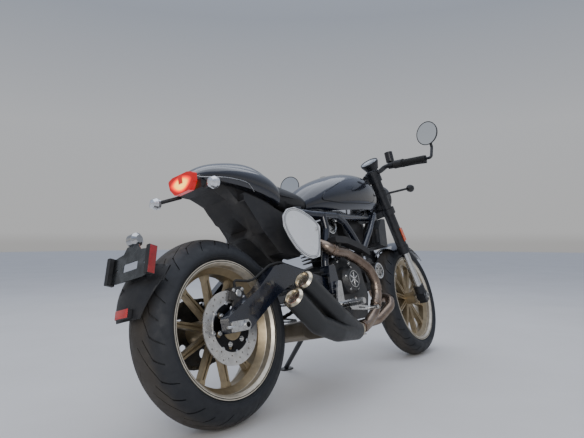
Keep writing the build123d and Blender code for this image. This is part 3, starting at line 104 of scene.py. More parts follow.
def raised(tree, height, strength, distance, under=None):
    """Relief from a height, laid over other relief where there is some."""
    inputs = {"Height": height, "Strength": strength, "Distance": distance}
    if under is not None:
        inputs["Normal"] = under
    return fit(tree, "Bump", inputs).outputs["Normal"]


def start(name, add, **settings):
    """A plain shape to start from, selected by itself."""
    bpy.ops.object.select_all(action="DESELECT")
    add(**settings)
    piece = bpy.context.object
    piece.name = name
    return piece


floor = start("floor", bpy.ops.mesh.primitive_plane_add, size=FLOOR_WIDTH)
stone = bpy.data.materials.new("pale_floor")
stone.use_nodes = True
tree = stone.node_tree
spot = fit(tree, "TexCoord").outputs["Object"]
cloud = noise(tree, spot, 1.3, 6.0, 0.62)
tone = tints(tree, cloud, [(0.3, (0.70, 0.68, 0.655)), (0.72, (0.76, 0.74, 0.715))])
grit = raised(tree, noise(tree, spot, 140.0, 3.0), 0.12, 0.002)
shade(tree, {"Base Color": tone, "Roughness": 0.85, "Normal": grit})
floor.data.materials.append(stone)


# Light
# An evenly clouded studio sky, pale round the horizon and cooler overhead, and two wide soft lamps:
# one above and one behind the viewer.
def share(tree, value, low, high, least=0.0, most=1.0):
    """How far a value is from low to high, told from least to most."""
    return fit(tree, "MapRange", {"Value": value, "From Min": low, "From Max": high, "To Min": least,
                                  "To Max": most}).outputs["Result"]


sky = bpy.data.worlds.new("soft_sky")
sky.use_nodes = True
bpy.context.scene.world = sky
tree = sky.node_tree
rise = fit(tree, "SeparateXYZ", {"Vector": fit(tree, "TexCoord").outputs["Generated"]})
band = tints(tree, share(tree, rise.outputs["Z"], -0.2, 1.0), [
    (0.0, (0.30, 0.295, 0.29)), (0.165, (0.42, 0.415, 0.41)), (0.18, (0.50, 0.50, 0.50)),
    (0.34, (0.50, 0.51, 0.53)), (0.50, (0.34, 0.37, 0.43)), (0.72, (0.44, 0.50, 0.64)),
    (1.0, (0.54, 0.62, 0.80))])
feed(tree, tree.nodes["Background"], {"Color": band, "Strength": 1.0})
# Each lamp's name, place, target, width, power and tint.
LAMPS = [("overhead", (0.3, 0.4, 4.6), (0, 0, 0.4), 5.5, 110, (0.93, 0.96, 1.0)),
         ("behind_viewer", (-3.8, -3.6, 2.4), (0, 0, 0.5), 2.4, 95, (1.0, 0.97, 0.93))]
for name, place, target, width, power, tint in LAMPS:
    lamp = bpy.data.lights.new(name, "AREA")
    lamp.size, lamp.energy, lamp.color = width, power, tint
    hung = bpy.data.objects.new(name, lamp)
    hung.location = place
    hung.rotation_euler = (Vector(target) - Vector(place)).to_track_quat("-Z", "Y").to_euler()
    bpy.context.scene.collection.objects.link(hung)


# Frame and swinging arm
# Round steel tube welded into a trellis, and a cast arm with an oval beam each side.
# Both are enamelled blue-black; the stand and its bracket are powder coated satin black.
def blended(tree, amount, under, over, way="MIX"):
    """One colour laid over another by an amount."""
    return fit(tree, "Mix", {"Factor": amount, "A": under, "B": over}, data_type="RGBA",
               blend_type=way).outputs["Result"]


def dusted(tree, place, colour, grain, bare, most, dirt):
    """A colour under patches of dust."""
    film = noise(tree, place, grain, 7.0, 0.7)
    return blended(tree, share(tree, film, bare, 0.8, most=most), colour, (*dirt, 1))


def finish(name, dark, light, rough, grain, relief=0.0, metal=0.0, gloss=0.0, spread=0.08, dust=0.0):
    """A mottled pair of tints with uneven roughness, fine relief and, where it lies, dust."""
    made = bpy.data.materials.new(name)
    made.use_nodes = True
    tree = made.node_tree
    place = fit(tree, "TexCoord").outputs["Object"]
    patch = noise(tree, place, grain, 5.0, 0.6)
    colour = tints(tree, patch, [(0.32, dark), (0.70, light)])
    if dust:
        colour = dusted(tree, place, colour, 11.0, 0.45, dust, (0.24, 0.21, 0.17))
    uneven = share(tree, patch, 0.3, 0.7, max(rough - spread, 0.02), min(rough + spread, 1.0))
    shade(tree, {"Base Color": colour, "Roughness": uneven, "Metallic": metal, "Coat Weight": gloss,
                 "Coat Roughness": 0.04})
    if relief:
        shade(tree, {"Normal": raised(tree, noise(tree, place, grain * 9, 3.0), 0.5, relief)})
    return made


def wear(material, *names):
    """Give CAD pieces their finish."""
    for name in names:
        for place in nodes[name].material_slots:
            place.material = material


satin = finish("satin_powder_coat", (0.008, 0.009, 0.012), (0.014, 0.016, 0.021), 0.34, 24, 0.0003, dust=0.10)
wear(satin, "stand_bracket", "side_stand")
enamel = finish("frame_enamel", (0.005, 0.007, 0.014), (0.008, 0.011, 0.022), 0.27, 24, gloss=0.8,
                spread=0.05)
wear(enamel, "main_frame", "swingarm")

# Engine
# An air-cooled twin: blasted dark alloy cases, finned cylinders and long covers over the cam belts.
# The round cover on the right is screwed on and framed by a polished ring.
# New pieces are made on the upright machine, with x measured from the rear axle, and then parked.
LEAN = Matrix.Rotation(math.radians(-13.1), 4, "X")
PARKED = Matrix.Translation((-0.6917, -0.2462, 0.0025)) @ LEAN
RIGHT, LEFT = (0, -1, 0), (0, 1, 0)
cast = finish("dark_cast_alloy", (0.018, 0.020, 0.023), (0.035, 0.037, 0.041), 0.42, 40, 0.0006, dust=0.25)
wear(cast, "engine_block", "crankcase_covers", "regulator")
polished = finish("polished_steel", (0.62, 0.62, 0.61), (0.80, 0.80, 0.79), 0.14, 60, metal=1.0, spread=0.05)


def aim(origin, way):
    """Place with its own +Z along a direction."""
    return Matrix.Translation(origin) @ Vector(way).to_track_quat("Z", "Y").to_matrix().to_4x4()


def alone(piece):
    """Select one piece and nothing else."""
    bpy.ops.object.select_all(action="DESELECT")
    piece.select_set(True)
    bpy.context.view_layer.objects.active = piece


def edit(chosen="", kind=""):
    """Edit the mesh of the piece in hand, with all or none of it chosen."""
    bpy.ops.object.mode_set(mode="EDIT")
    if kind:
        bpy.ops.mesh.select_mode(type=kind)
    if chosen:
        bpy.ops.mesh.select_all(action=chosen)


def leave():
    """Leave edit mode."""
    bpy.ops.object.mode_set(mode="OBJECT")


def choose(piece, wanted):
    """Edit a mesh with only those of its faces chosen that pass a test."""
    edit("DESELECT", "FACE")
    leave()
    for face in piece.data.polygons:
        face.select = wanted(face)
    edit()


def faces_out():
    """Turn the faces of the piece in hand outwards, and leave edit mode."""
    edit("SELECT")
    bpy.ops.mesh.normals_make_consistent(inside=False)
    leave()


def turn(name, profile, sides=48):
    """A turned piece about +Z: a disc drawn out along a profile of (radius, height)."""
    radius, height = profile[0]
    piece = start(name, bpy.ops.mesh.primitive_circle_add, vertices=sides, radius=radius, fill_type="NGON",
                  location=(0, 0, height))
    bpy.ops.object.transform_apply()
    edit("SELECT", "FACE")
    for wide, tall in profile[1:]:
        bpy.ops.mesh.extrude_region_move(TRANSFORM_OT_translate={"value": (0, 0, tall - height)})
        bpy.ops.transform.resize(value=(wide / radius, wide / radius, 1), center_override=(0, 0, height))
        radius, height = wide, tall
    faces_out()
    return piece


def joined(name, pieces):
    """Several pieces made one."""
    alone(pieces[0])
    for piece in pieces:
        piece.select_set(True)
    if len(pieces) > 1:
        bpy.ops.object.join()
    pieces[0].name = name
    return pieces[0]


def repeat(piece, places):
    """Copies of one piece, each with its own mesh, joined where each place puts it."""
    copies = []
    for place in places:
        copy = piece.copy()
        copy.data = piece.data.copy()
        copy.data.transform(place)
        bpy.context.scene.collection.objects.link(copy)
        copies.append(copy)
    name = piece.name
    bpy.data.objects.remove(piece)
    return joined(name, copies)


def mount(piece, body, material, place=None, angle=35):
    """Put a finished piece in its place on the parked machine and let it ride there."""
    piece.data.transform(PARKED if place is None else place)
    piece.data.materials.clear()
    piece.data.materials.append(material)
    alone(piece)
    bpy.ops.object.shade_smooth_by_angle(angle=math.radians(angle))
    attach(piece, body)
    return piece


def cap_screw(name, radius=0.0055):
    """Socket-headed screw: a rounded head with a recess."""
    tall = radius * 1.1
    return turn(name, [(radius * 1.5, -0.001), (radius * 1.5, 0.0008), (radius, 0.0009),
                       (radius, tall * 0.85), (radius * 0.88, tall), (radius * 0.55, tall),
                       (radius * 0.5, tall * 0.4)], 12)


def ring_of(count, radius, centre, way, start=0.0):
    """Places spaced evenly on a circle round a direction."""
    for number in range(count):
        turned = Matrix.Rotation(start + math.tau * number / count, 4, "Z")
        yield aim(centre, way) @ turned @ Matrix.Translation((radius, 0, 0))


def block(name, long, wide, tall, rounding, sink=0.0):
    """A rounded block lying on its back, with an inset face when it holds a lens."""
    piece = start(name, bpy.ops.mesh.primitive_cube_add, size=1)
    piece.scale = (long, wide, tall)
    bpy.ops.object.transform_apply()
    edit("SELECT")
    bpy.ops.mesh.bevel(offset=rounding, segments=3)
    if sink:
        choose(piece, lambda face: face.center.z > tall / 2 - 1e-6)
        bpy.ops.mesh.inset(thickness=rounding, depth=-sink)
    leave()
    return piece


CLUTCH = Vector((0.677, -0.165, 0.424))
mount(repeat(cap_screw("clutch_cover_screws", 0.005),
             ring_of(5, 0.0485, CLUTCH + Vector((0, 0.0075, 0)), RIGHT, 0.3)), "frame", polished)
mount(repeat(turn("clutch_cover_ring", [(0.031, -0.001), (0.034, 0.003), (0.036, 0.003), (0.038, 0.001),
                                        (0.0375, -0.0005), (0.0335, -0.0012)]),
             [aim(CLUTCH, RIGHT)]), "frame", polished)
mount(repeat(block("clutch_cover_star", 0.060, 0.0055, 0.003, 0.0009),
             [aim(CLUTCH + Vector((0, -0.0004, 0)), RIGHT) @ Matrix.Rotation(math.radians(turned), 4, "Z")
              for turned in (25, 85, 145)]), "frame", polished)
COVER_FACE = 0.120
RIGHT_COVER_SCREWS = [(0.600, 0.362), (0.642, 0.333), (0.731, 0.341), (0.780, 0.402), (0.761, 0.464),
                      (0.726, 0.498), (0.643, 0.509), (0.600, 0.492)]
LEFT_COVER_SCREWS = [(0.680, 0.305), (0.704, 0.274), (0.797, 0.274), (0.831, 0.322), (0.831, 0.418),
                     (0.796, 0.458), (0.704, 0.468), (0.680, 0.425)]
mount(repeat(cap_screw("case_cover_screws"),
             [aim((x, -COVER_FACE, z), RIGHT) for x, z in RIGHT_COVER_SCREWS]
             + [aim((x, COVER_FACE, z), LEFT) for x, z in LEFT_COVER_SCREWS]), "frame", polished)
BELT_PULLEYS, BELT_COVER_FACE = [(0.6801, 0.6754), (1.0204, 0.4569)], -0.103
moulded = finish("matt_moulded_black", (0.010, 0.010, 0.011), (0.018, 0.018, 0.020), 0.55, 60, 0.0004,
                 dust=0.12)
wear(moulded, "belt_covers", "heat_guard")
mount(repeat(turn("belt_cover_rings", [(0.031, -0.001), (0.0315, 0.0012), (0.033, 0.0022), (0.037, 0.0022),
                                       (0.0385, 0.0012), (0.039, -0.001)]),
             [aim((x, BELT_COVER_FACE, z), RIGHT) for x, z in BELT_PULLEYS]), "frame", polished)
mount(repeat(cap_screw("belt_cover_screws", 0.004),
             [place for x, z in BELT_PULLEYS
              for place in ring_of(3, 0.022, (x, BELT_COVER_FACE + 0.003, z), RIGHT, 0.5)]), "frame", cast)


def bead(name, points, radius, closed=False):
    """A round bar, pipe or cord laid along a smooth line."""
    line = bpy.data.curves.new(name, "CURVE")
    line.dimensions = "3D"
    line.bevel_depth = radius
    line.bevel_resolution = 3
    line.use_fill_caps = True
    run = line.splines.new("NURBS")
    run.points.add(len(points) - 1)
    for point, place in zip(run.points, points):
        point.co = (*place, 1)
    run.order_u = 3
    run.use_cyclic_u = closed
    run.use_endpoint_u = not closed
    run.resolution_u = 8
    laid = bpy.data.objects.new(name, line)
    bpy.context.scene.collection.objects.link(laid)
    alone(laid)
    bpy.ops.object.convert(target="MESH")
    return bpy.context.object


def copy_of(node, name):
    """A free copy of a CAD piece, selected by itself."""
    piece = nodes[node].copy()
    piece.data = nodes[node].data.copy()
    piece.name = name
    piece.parent = None
    bpy.context.scene.collection.objects.link(piece)
    alone(piece)
    return piece


def weld(near=0.00005):
    """Merge the loose corners of the piece in hand, and stay in edit mode."""
    edit("SELECT", "VERT")
    bpy.ops.mesh.remove_doubles(threshold=near)


def reshape(node, name):
    """A welded copy of a CAD piece, brought upright to be worked on."""
    piece = copy_of(node, name)
    piece.data.transform(PARKED.inverted())
    weld()
    bpy.ops.mesh.normals_make_consistent(inside=False)
    edit("DESELECT")
    leave()
    return piece


def panel(name, outline, low, high, rounding=0.0):
    """A block with one outline in the side view, drawn out from one plane to another."""
    piece = start(name, bpy.ops.mesh.primitive_circle_add, vertices=len(outline), fill_type="NGON")
    for vertex, (x, z) in zip(piece.data.vertices, outline):
        vertex.co = (x, low, z)
    edit("SELECT", "FACE")
    bpy.ops.mesh.extrude_region_move(TRANSFORM_OT_translate={"value": (0, high - low, 0)})
    faces_out()
    if rounding:
        edit("SELECT")
        bpy.ops.mesh.bevel(offset=rounding, segments=3)
        leave()
    return piece


# The front cylinder is mirrored about its own bore, which brings its exhaust port to the lower side.
CRANK, FRONT_BORE = Vector((0.741, 0, 0.396)), Vector((0.97705, 0, 0.21303))
REAR_BORE = Vector((-FRONT_BORE.z, 0, FRONT_BORE.x))
barrels = reshape("cylinders", "finned_cylinders")
for vertex in barrels.data.vertices:
    arm = vertex.co - CRANK
    if arm.dot(FRONT_BORE) > arm.dot(REAR_BORE):
        vertex.co -= 2 * arm.dot(REAR_BORE) * REAR_BORE
faces_out()
mount(barrels, "frame", cast)
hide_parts("cylinders")
AIR_BOX = [(0.806, 0.712), (0.806, 0.640), (0.850, 0.596), (0.975, 0.596), (0.975, 0.694), (0.940, 0.712)]
AIR_BOX_NOSE = [(0.960, 0.596), (1.018, 0.596), (1.012, 0.676), (0.960, 0.690)]
INTAKE = [(0.737, 0, 0.686), (0.775, 0, 0.678), (0.820, 0, 0.668)]
mount(panel("air_box", AIR_BOX, -0.084, 0.084, 0.009), "frame", moulded)
mount(panel("air_box_nose", AIR_BOX_NOSE, -0.046, 0.046, 0.006), "frame", moulded)
mount(bead("intake_ducts", INTAKE, 0.024), "frame", moulded)
DRIVE_COVER = [(0.574, 0.344), (0.640, 0.328), (0.690, 0.350), (0.690, 0.420), (0.640, 0.444), (0.574, 0.430)]
mount(panel("drive_cover", DRIVE_COVER, 0.118, 0.124, 0.0022), "frame", moulded)

# Exhaust
# Two steel headers, browned by heat, run to a box under the engine and a stacked pair of silencers.
# Clamps hold the slip joints, and turned cones line the silencers' open ends.
hot = finish("heat_tinted_steel", (0.17, 0.120, 0.090), (0.36, 0.285, 0.225), 0.28, 14, 0.0002, metal=0.9,
             dust=0.1)
wear(hot, "exhaust_headers")
box_steel = finish("box_steel", (0.22, 0.185, 0.14), (0.38, 0.33, 0.26), 0.40, 9, 0.0003, metal=0.7, dust=0.3)
wear(box_steel, "exhaust_box")
wear(finish("silencer_black", (0.010, 0.011, 0.012), (0.018, 0.019, 0.020), 0.42, 50, 0.0003), "silencers")
turned_alloy = finish("turned_cone_alloy", (0.50, 0.42, 0.28), (0.78, 0.72, 0.60), 0.22, 90, metal=1.0)
# Each silencer's mouth, and the way into it.
SILENCER_TIPS = [((0.240, -0.228, 0.432), (0.200, 0.022, -0.140)),
                 ((0.168, -0.228, 0.376), (0.132, 0.016, -0.104))]
cone = turn("silencer_cones", [(0.0380, 0.0015), (0.0384, -0.0005), (0.0303, -0.0076), (0.0275, -0.0078),
                               (0.0262, -0.0060), (0.0150, 0.0420)])
mount(repeat(cone, [aim(tip, way) for tip, way in SILENCER_TIPS]), "frame", turned_alloy, angle=25)
header_clamp = turn("header_clamps", [(0.0215, -0.011), (0.0245, -0.011), (0.0255, -0.009), (0.0242, -0.0075),
                                      (0.0242, 0.0075), (0.0255, 0.009), (0.0245, 0.011), (0.0215, 0.011)])
# Each slip joint, and the run of the pipe there.
HEADER_JOINTS = [((0.836, -0.170, 0.372), (0.18, 0, 0.98)), ((0.807, -0.170, 0.306), (0.55, 0, 0.83)),
                 ((0.664, -0.1713, 0.2217), (0.993, 0.02, 0.119)),
                 ((0.548, -0.170, 0.5515), (0.943, 0, -0.334))]
mount(repeat(header_clamp, [aim(place, way) for place, way in HEADER_JOINTS]), "frame", hot)
mount(repeat(cap_screw("header_clamp_screws", 0.0045),
             [aim(place, way) @ Matrix.Translation((0, -0.031, 0)) @ Matrix.Rotation(math.pi / 2, 4, "X")
              for place, way in HEADER_JOINTS]), "frame", polished)
collar = turn("silencer_collar", [(0.0272, -0.012), (0.0300, -0.012), (0.0300, -0.004), (0.0335, -0.003),
                                  (0.0335, 0.003), (0.0300, 0.004), (0.0300, 0.012), (0.0272, 0.012)])
mount(repeat(collar, [aim((0.6154, -0.1717, 0.2159), (0.993, 0.02, 0.119))]), "frame", turned_alloy)


# Rear wheel
# Cast in one piece and painted matt bronze, then machined on both edges of the rim.
# The lips are left bare, so they shine.
def local_to(tree, base):
    """Position measured from a base, such as a wheel's hub with its axle along Y."""
    place = fit(tree, "TexCoord").outputs["Object"]
    return fit(tree, "Mapping", {"Vector": place, "Location": base.to_translation(),
                                 "Rotation": base.to_euler()}, vector_type="TEXTURE").outputs["Vector"]


def wheel_radius(tree, where):
    """Distance from the axle."""
    flat = fit(tree, "VectorMath", {0: where, 1: (1, 0, 1)}, operation="MULTIPLY").outputs["Vector"]
    return fit(tree, "VectorMath", {0: flat}, operation="LENGTH").outputs["Value"]


def mottled(tree, colour, patches, dark, light):
    """A colour darkened and lightened in patches, by two stops of (position, shade)."""
    return blended(tree, 1.0, colour, tints(tree, patches, [dark, light]), "MULTIPLY")


def banded(name, hub, bands, metal, rough, dust=0.0):
    """A wheel or disc whose colour changes at the radii in a table of (radius, colour)."""
    made = finish(name, (0.2, 0.2, 0.2), (0.3, 0.3, 0.3), rough, 30, 0.0002, metal=metal)
    tree = made.node_tree
    where = local_to(tree, hub)
    low, high = bands[0][0], bands[-1][0]
    colour = tints(tree, share(tree, wheel_radius(tree, where), low, high),
                   [((radius - low) / (high - low), tint) for radius, tint in bands])
    colour = mottled(tree, colour, noise(tree, where, 45.0, 6.0), (0.3, (0.78, 0.78, 0.78)),
                     (0.7, (1.1, 1.1, 1.1)))
    if dust:
        colour = dusted(tree, where, colour, 13.0, 0.48, dust, (0.20, 0.17, 0.13))
    shade(tree, {"Base Color": colour})
    return made


REAR_AXLE = Vector((0, 0, 0.315))
REAR_HUB = PARKED @ Matrix.Translation(REAR_AXLE)
BRONZE, CHAMPAGNE, SHADOW = (0.37, 0.295, 0.185), (0.72, 0.66, 0.55), (0.02, 0.018, 0.015)
# Bronze inwards of the lip, then two bright rings with a painted shadow line between.
RIM_BANDS = [(0.0500, BRONZE), (0.2095, BRONZE), (0.2110, CHAMPAGNE), (0.2222, CHAMPAGNE),
             (0.2230, SHADOW), (0.2252, SHADOW), (0.2260, CHAMPAGNE), (0.2300, CHAMPAGNE)]
wear(banded("rear_wheel_bronze", REAR_HUB, RIM_BANDS, 0.75, 0.36, 0.25), "rear_wheel")


# Rear tyre
# A wide radial on a round crown: long swept grooves on both sides of a plain centre band,
# pressed 5 mm deep, and smooth bluish-black walls. The band that meets the road is dusty brown.
def reckon(tree, operation, *values):
    """One step of arithmetic in a material."""
    return fit(tree, "Math", dict(enumerate(values)), operation=operation).outputs["Value"]


WALL_FOOT = 0.229


def rubber(name, hub, worn):
    """Tyre rubber: a scuffed band as far out as it is worn, darker walls with fine raised rings."""
    made = finish(name, (0.02, 0.02, 0.02), (0.03, 0.03, 0.03), 0.62, 40, 0.0005, spread=0.12)
    tree = made.node_tree
    where = local_to(tree, hub)
    side = reckon(tree, "ABSOLUTE", fit(tree, "SeparateXYZ", {"Vector": where}).outputs["Y"])
    ragged = noise(tree, where, 30.0, 8.0, 0.7)
    scuffed = share(tree, reckon(tree, "MULTIPLY_ADD", ragged, 0.03, side), worn, worn + 0.03)
    colour = tints(tree, scuffed, [(0.0, (0.044, 0.038, 0.031)), (0.55, (0.020, 0.020, 0.021)),
                                   (1.0, (0.011, 0.013, 0.017))])
    colour = mottled(tree, colour, noise(tree, where, 9.0, 9.0, 0.75), (0.32, (0.72, 0.72, 0.74)),
                     (0.7, (1.25, 1.2, 1.15)))
    reach = wheel_radius(tree, where)
    wave = reckon(tree, "SINE", reckon(tree, "MULTIPLY", reach, 1300.0))
    rings = reckon(tree, "MULTIPLY", wave, share(tree, reach, WALL_FOOT + 0.018, WALL_FOOT + 0.014))
    grain = raised(tree, ragged, 0.4, 0.0006, raised(tree, rings, 0.5, 0.0008))
    shade(tree, {"Base Color": colour, "Normal": grain})
    return made


# Distance from the centre line, and how far back a groove has run there.
SWEEP = [(0.0, 0.0), (0.010, 0.012), (0.047, 0.105), (0.051, 0.124), (0.070, 0.142), (0.100, 0.162),
         (0.200, 0.162)]
CROWN_STEPS, PITCHES, PITCH_COLUMNS = 17, 14, 10
BEAD_SEAT, BEAD_TOP, RIM_WALL = 0.2185, 0.2305, 0.0053
LONG_GROOVE, SHORT_GROOVE, GROOVE_END = (0.008, 0.098), (0.030, 0.084), 0.104


def swept(across):
    """How far back along the tread a groove has run at this distance from the centre line."""
    for (near, back), (far, further) in zip(SWEEP, SWEEP[1:]):
        if across <= far:
            return back + (further - back) * (across - near) / (far - near)


def tyre(name, radius, crown, half, rim_half, scale, deep):
    """A grid wrapped round the wheel and round the section, with its grooves pushed in."""
    edge = crown * math.asin(half / crown)
    shoulder = radius - crown + math.sqrt(crown**2 - half**2)
    foot = rim_half - RIM_WALL
    section = []
    for step in range(CROWN_STEPS):
        along = edge * step / (CROWN_STEPS - 1)
        section.append((crown * math.sin(along / crown), radius - crown + crown * math.cos(along / crown),
                        along))
    # Down the wall, round the bead on the rim, and back up inside to the crown.
    for across, reach in ((half - 0.0006, shoulder - 0.004), (half - 0.0026, shoulder - 0.0095),
                          (half - 0.008, shoulder - 0.0150), (foot + 0.004, BEAD_TOP + 0.002),
                          (foot, BEAD_TOP), (foot, BEAD_SEAT), (foot - 0.014, BEAD_SEAT),
                          (half - 0.014, shoulder - 0.01), (crown * 0.62, radius - crown * 0.36),
                          (crown * 0.26, radius - crown * 0.13 - 0.009)):
        section.append((across, reach, edge))
    rows = section + [(-across, reach, along) for across, reach, along in reversed(section[1:])] + section[:1]
    pitch = math.tau * radius / PITCHES
    columns = PITCH_COLUMNS * PITCHES
    piece = start(name, bpy.ops.mesh.primitive_grid_add, x_subdivisions=columns,
                  y_subdivisions=len(rows) - 1, size=1)
    grooves = []
    for face in piece.data.polygons:
        column = int((face.center.x + 0.5) * columns) % PITCH_COLUMNS
        row = int((face.center.y + 0.5) * (len(rows) - 1))
        left = row >= len(section)
        step = len(rows) - 2 - row if left else row
        along = edge * (step + 0.5) / (CROWN_STEPS - 1) / scale
        long_one = column == (5 if left else 0) and LONG_GROOVE[0] < along < LONG_GROOVE[1]
        short_one = column == (0 if left else 5) and SHORT_GROOVE[0] < along < SHORT_GROOVE[1]
        grooves.append(long_one or short_one)
    for vertex in piece.data.vertices:
        column = round((vertex.co.x + 0.5) * columns)
        across, reach, along = rows[round((vertex.co.y + 0.5) * (len(rows) - 1))]
        lip = (0.0008 + 0.0026 * math.sin(math.pi * min(along / scale / GROOVE_END, 1.0)) ** 0.7) / pitch
        within = (-lip, lip, 0.13, 0.25, 0.37, 0.5 - lip, 0.5 + lip, 0.63, 0.75, 0.87)[column % PITCH_COLUMNS]
        back = (column // PITCH_COLUMNS + within) * pitch + swept(along / scale) * scale
        turned = back / radius
        vertex.co = (-reach * math.sin(turned), across, reach * math.cos(turned))
    choose(piece, lambda face: grooves[face.index])
    bpy.ops.mesh.extrude_region_shrink_fatten(TRANSFORM_OT_shrink_fatten={"value": deep})
    weld(0.00002)
    faces_out()
    return piece


rear_tread = tyre("rear_tyre_tread", 0.315, 0.095, 0.090, 0.076, 1.0, 0.005)
mount(rear_tread, "rear_wheel", rubber("rear_tyre_rubber", REAR_HUB, 0.052), REAR_HUB, angle=40)
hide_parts("rear_tyre")

# Rear brake
# A drilled steel disc, brushed round by its pads, riveted to a dark carrier that bolts to the hub.
# The black caliper hangs above it on a bracket from the axle.
STEEL, CARRIER = (0.66, 0.65, 0.63), (0.022, 0.022, 0.024)


def disc_bands(inner, edge, outer):
    """A dark carrier out to an edge, and steel from there."""
    return [(inner, CARRIER), (edge - 0.015 * (outer - inner), CARRIER), (edge, STEEL), (outer, STEEL)]


wear(banded("rear_disc_steel", REAR_HUB, disc_bands(0.03, 0.0805, 0.1225), 0.9, 0.30), "rear_disc")
bright = finish("bare_alloy", (0.50, 0.50, 0.50), (0.68, 0.68, 0.67), 0.30, 60, 0.0002, metal=1.0)
DISC_MIDDLE = REAR_AXLE + Vector((0, -0.0832, 0))
mount(repeat(cap_screw("rear_disc_bolts", 0.006), ring_of(6, 0.056, DISC_MIDDLE, RIGHT, 0.2)), "rear_wheel",
      bright)
rivet = turn("rear_disc_rivets", [(0.0065, -0.001), (0.0065, 0.0012), (0.0050, 0.0020), (0.0032, 0.0020),
                                  (0.0030, 0.0006)], 16)
mount(repeat(rivet, ring_of(8, 0.0800, DISC_MIDDLE, RIGHT, 0.1)), "rear_wheel", bright)
caliper_black = finish("caliper_black", (0.010, 0.010, 0.011), (0.022, 0.022, 0.023), 0.38, 50, 0.0004,
                       dust=0.3)
wear(caliper_black, "rear_caliper", "front_caliper")
CALIPER_FACE = -0.0965
mount(repeat(turn("caliper_cap", [(0.013, -0.002), (0.013, 0.002), (0.0115, 0.0035), (0.007, 0.0035),
                                  (0.0065, 0.0015), (0.0035, 0.0015), (0.003, 0.003)], 32),
             [aim((0.043, CALIPER_FACE, 0.423), RIGHT)]), "frame", bright)
mount(repeat(cap_screw("caliper_screws", 0.0045),
             [aim((x, CALIPER_FACE, z), RIGHT) for x, z in ((0.022, 0.436), (0.063, 0.436), (0.066, 0.409))]),
      "frame", bright)

# Final drive
# An oiled steel chain on a black 46-tooth sprocket, held to the hub by five nuts.
# Hollow axle, hexagon nut and bare alloy tensioner blocks close the arm's ends.
oiled = finish("oiled_chain_steel", (0.05, 0.045, 0.04), (0.13, 0.12, 0.10), 0.38, 80, 0.0003, metal=1.0)
wear(finish("sprocket_black", (0.02, 0.02, 0.022), (0.05, 0.05, 0.052), 0.34, 60, 0.0003, metal=0.8,
            dust=0.2), "rear_sprocket")
hex_nut = turn("sprocket_nuts", [(0.0105, -0.001), (0.0105, 0.0065), (0.0092, 0.0078), (0.0058, 0.0078),
                                 (0.0052, 0.0060)], 6)
mount(repeat(hex_nut, ring_of(5, 0.058, REAR_AXLE + Vector((0, 0.109, 0)), LEFT, 0.35)), "rear_wheel",
      bright, angle=20)
wear(bright, "rear_axle", "front_axle", "footrests", "foot_levers")
TENSIONERS = [(-0.045, -0.1437, 0.315), (-0.045, 0.1577, 0.315)]
mount(repeat(turn("tensioner_screw", [(0.0045, 0.0), (0.0045, 0.030), (0.0038, 0.031)], 16),
             [aim(place, (-1, 0, 0)) for place in TENSIONERS]), "frame", bright)
REAR_PITCH, FRONT_PITCH, LINK = 0.11630, 0.03818, 0.015875
REAR_SPROCKET, FRONT_SPROCKET = REAR_AXLE + Vector((0, 0.106, 0)), Vector((0.606, 0.106, 0.384))


def chain_run():
    """Pin centres along the run that wraps both sprockets."""
    across = FRONT_SPROCKET - REAR_SPROCKET
    span, slope = across.length, math.atan2(across.z, across.x)
    lead = math.asin((REAR_PITCH - FRONT_PITCH) / span)
    straight = math.sqrt(span ** 2 - (REAR_PITCH - FRONT_PITCH) ** 2)
    turned = straight + FRONT_PITCH * (math.pi - 2 * lead)
    back = turned + straight
    whole = back + REAR_PITCH * (math.pi + 2 * lead)
    count = 2 * round(whole / LINK / 2)
    for number in range(count):
        way = number * whole / count
        if way < straight:
            place = (REAR_PITCH * math.sin(lead) + way * math.cos(lead),
                     REAR_PITCH * math.cos(lead) - way * math.sin(lead))
        elif way < turned:
            bend = math.pi / 2 - lead - (way - straight) / FRONT_PITCH
            place = (span + FRONT_PITCH * math.cos(bend), FRONT_PITCH * math.sin(bend))
        elif way < back:
            rest = way - turned
            place = (span + FRONT_PITCH * math.sin(lead) - rest * math.cos(lead),
                     -FRONT_PITCH * math.cos(lead) - rest * math.sin(lead))
        else:
            bend = lead - math.pi / 2 - (way - back) / REAR_PITCH
            place = (REAR_PITCH * math.cos(bend), REAR_PITCH * math.sin(bend))
        yield REAR_SPROCKET + Matrix.Rotation(-slope, 3, "Y") @ Vector((place[0], 0, place[1]))


def link_plate(name, high, low_y, high_y):
    """A flat link over two pins, with rounded ends."""
    arc = [math.pi / 2 + math.pi * step / 6 for step in range(7)]
    left = [(high * math.cos(bend), high * math.sin(bend)) for bend in arc]
    right = [(LINK - x, -z) for x, z in left]
    return panel(name, left + right, low_y, high_y, 0.0004)


OUTER_PLATE, INNER_PLATE = (0.0068, 0.0022), (0.0062, 0.0020)
ROLLERS_FROM, ROLLERS_TO = 0.140, 0.550
pins = list(chain_run())
outer, inner = [], []
for number, pin in enumerate(pins):
    way = pins[(number + 1) % len(pins)] - pin
    place = Matrix.Translation(pin) @ Matrix.Rotation(-math.atan2(way.z, way.x), 4, "Y")
    (inner if number % 2 else outer).append(place)
links = []
for (high, thick), sides, places in ((OUTER_PLATE, (-0.0080, 0.0058), outer),
                                     (INNER_PLATE, (-0.0056, 0.0036), inner)):
    links += [repeat(link_plate("link", high, low, low + thick), places) for low in sides]
rivet = turn("link", [(0.0026, 0.0037), (0.0026, 0.0086), (0.0018, 0.0090)], 10)
links.append(repeat(rivet, [aim(pin, way) for pin in pins for way in (RIGHT, LEFT)]))
roller = turn("link", [(0.0051, -0.0034), (0.0051, 0.0034)], 12)
links.append(repeat(roller, [aim(pin, LEFT) for pin in pins if ROLLERS_FROM < pin.x < ROLLERS_TO]))
chain = joined("chain_links", links)
mount(chain, "frame", oiled)
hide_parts("drive_chain")

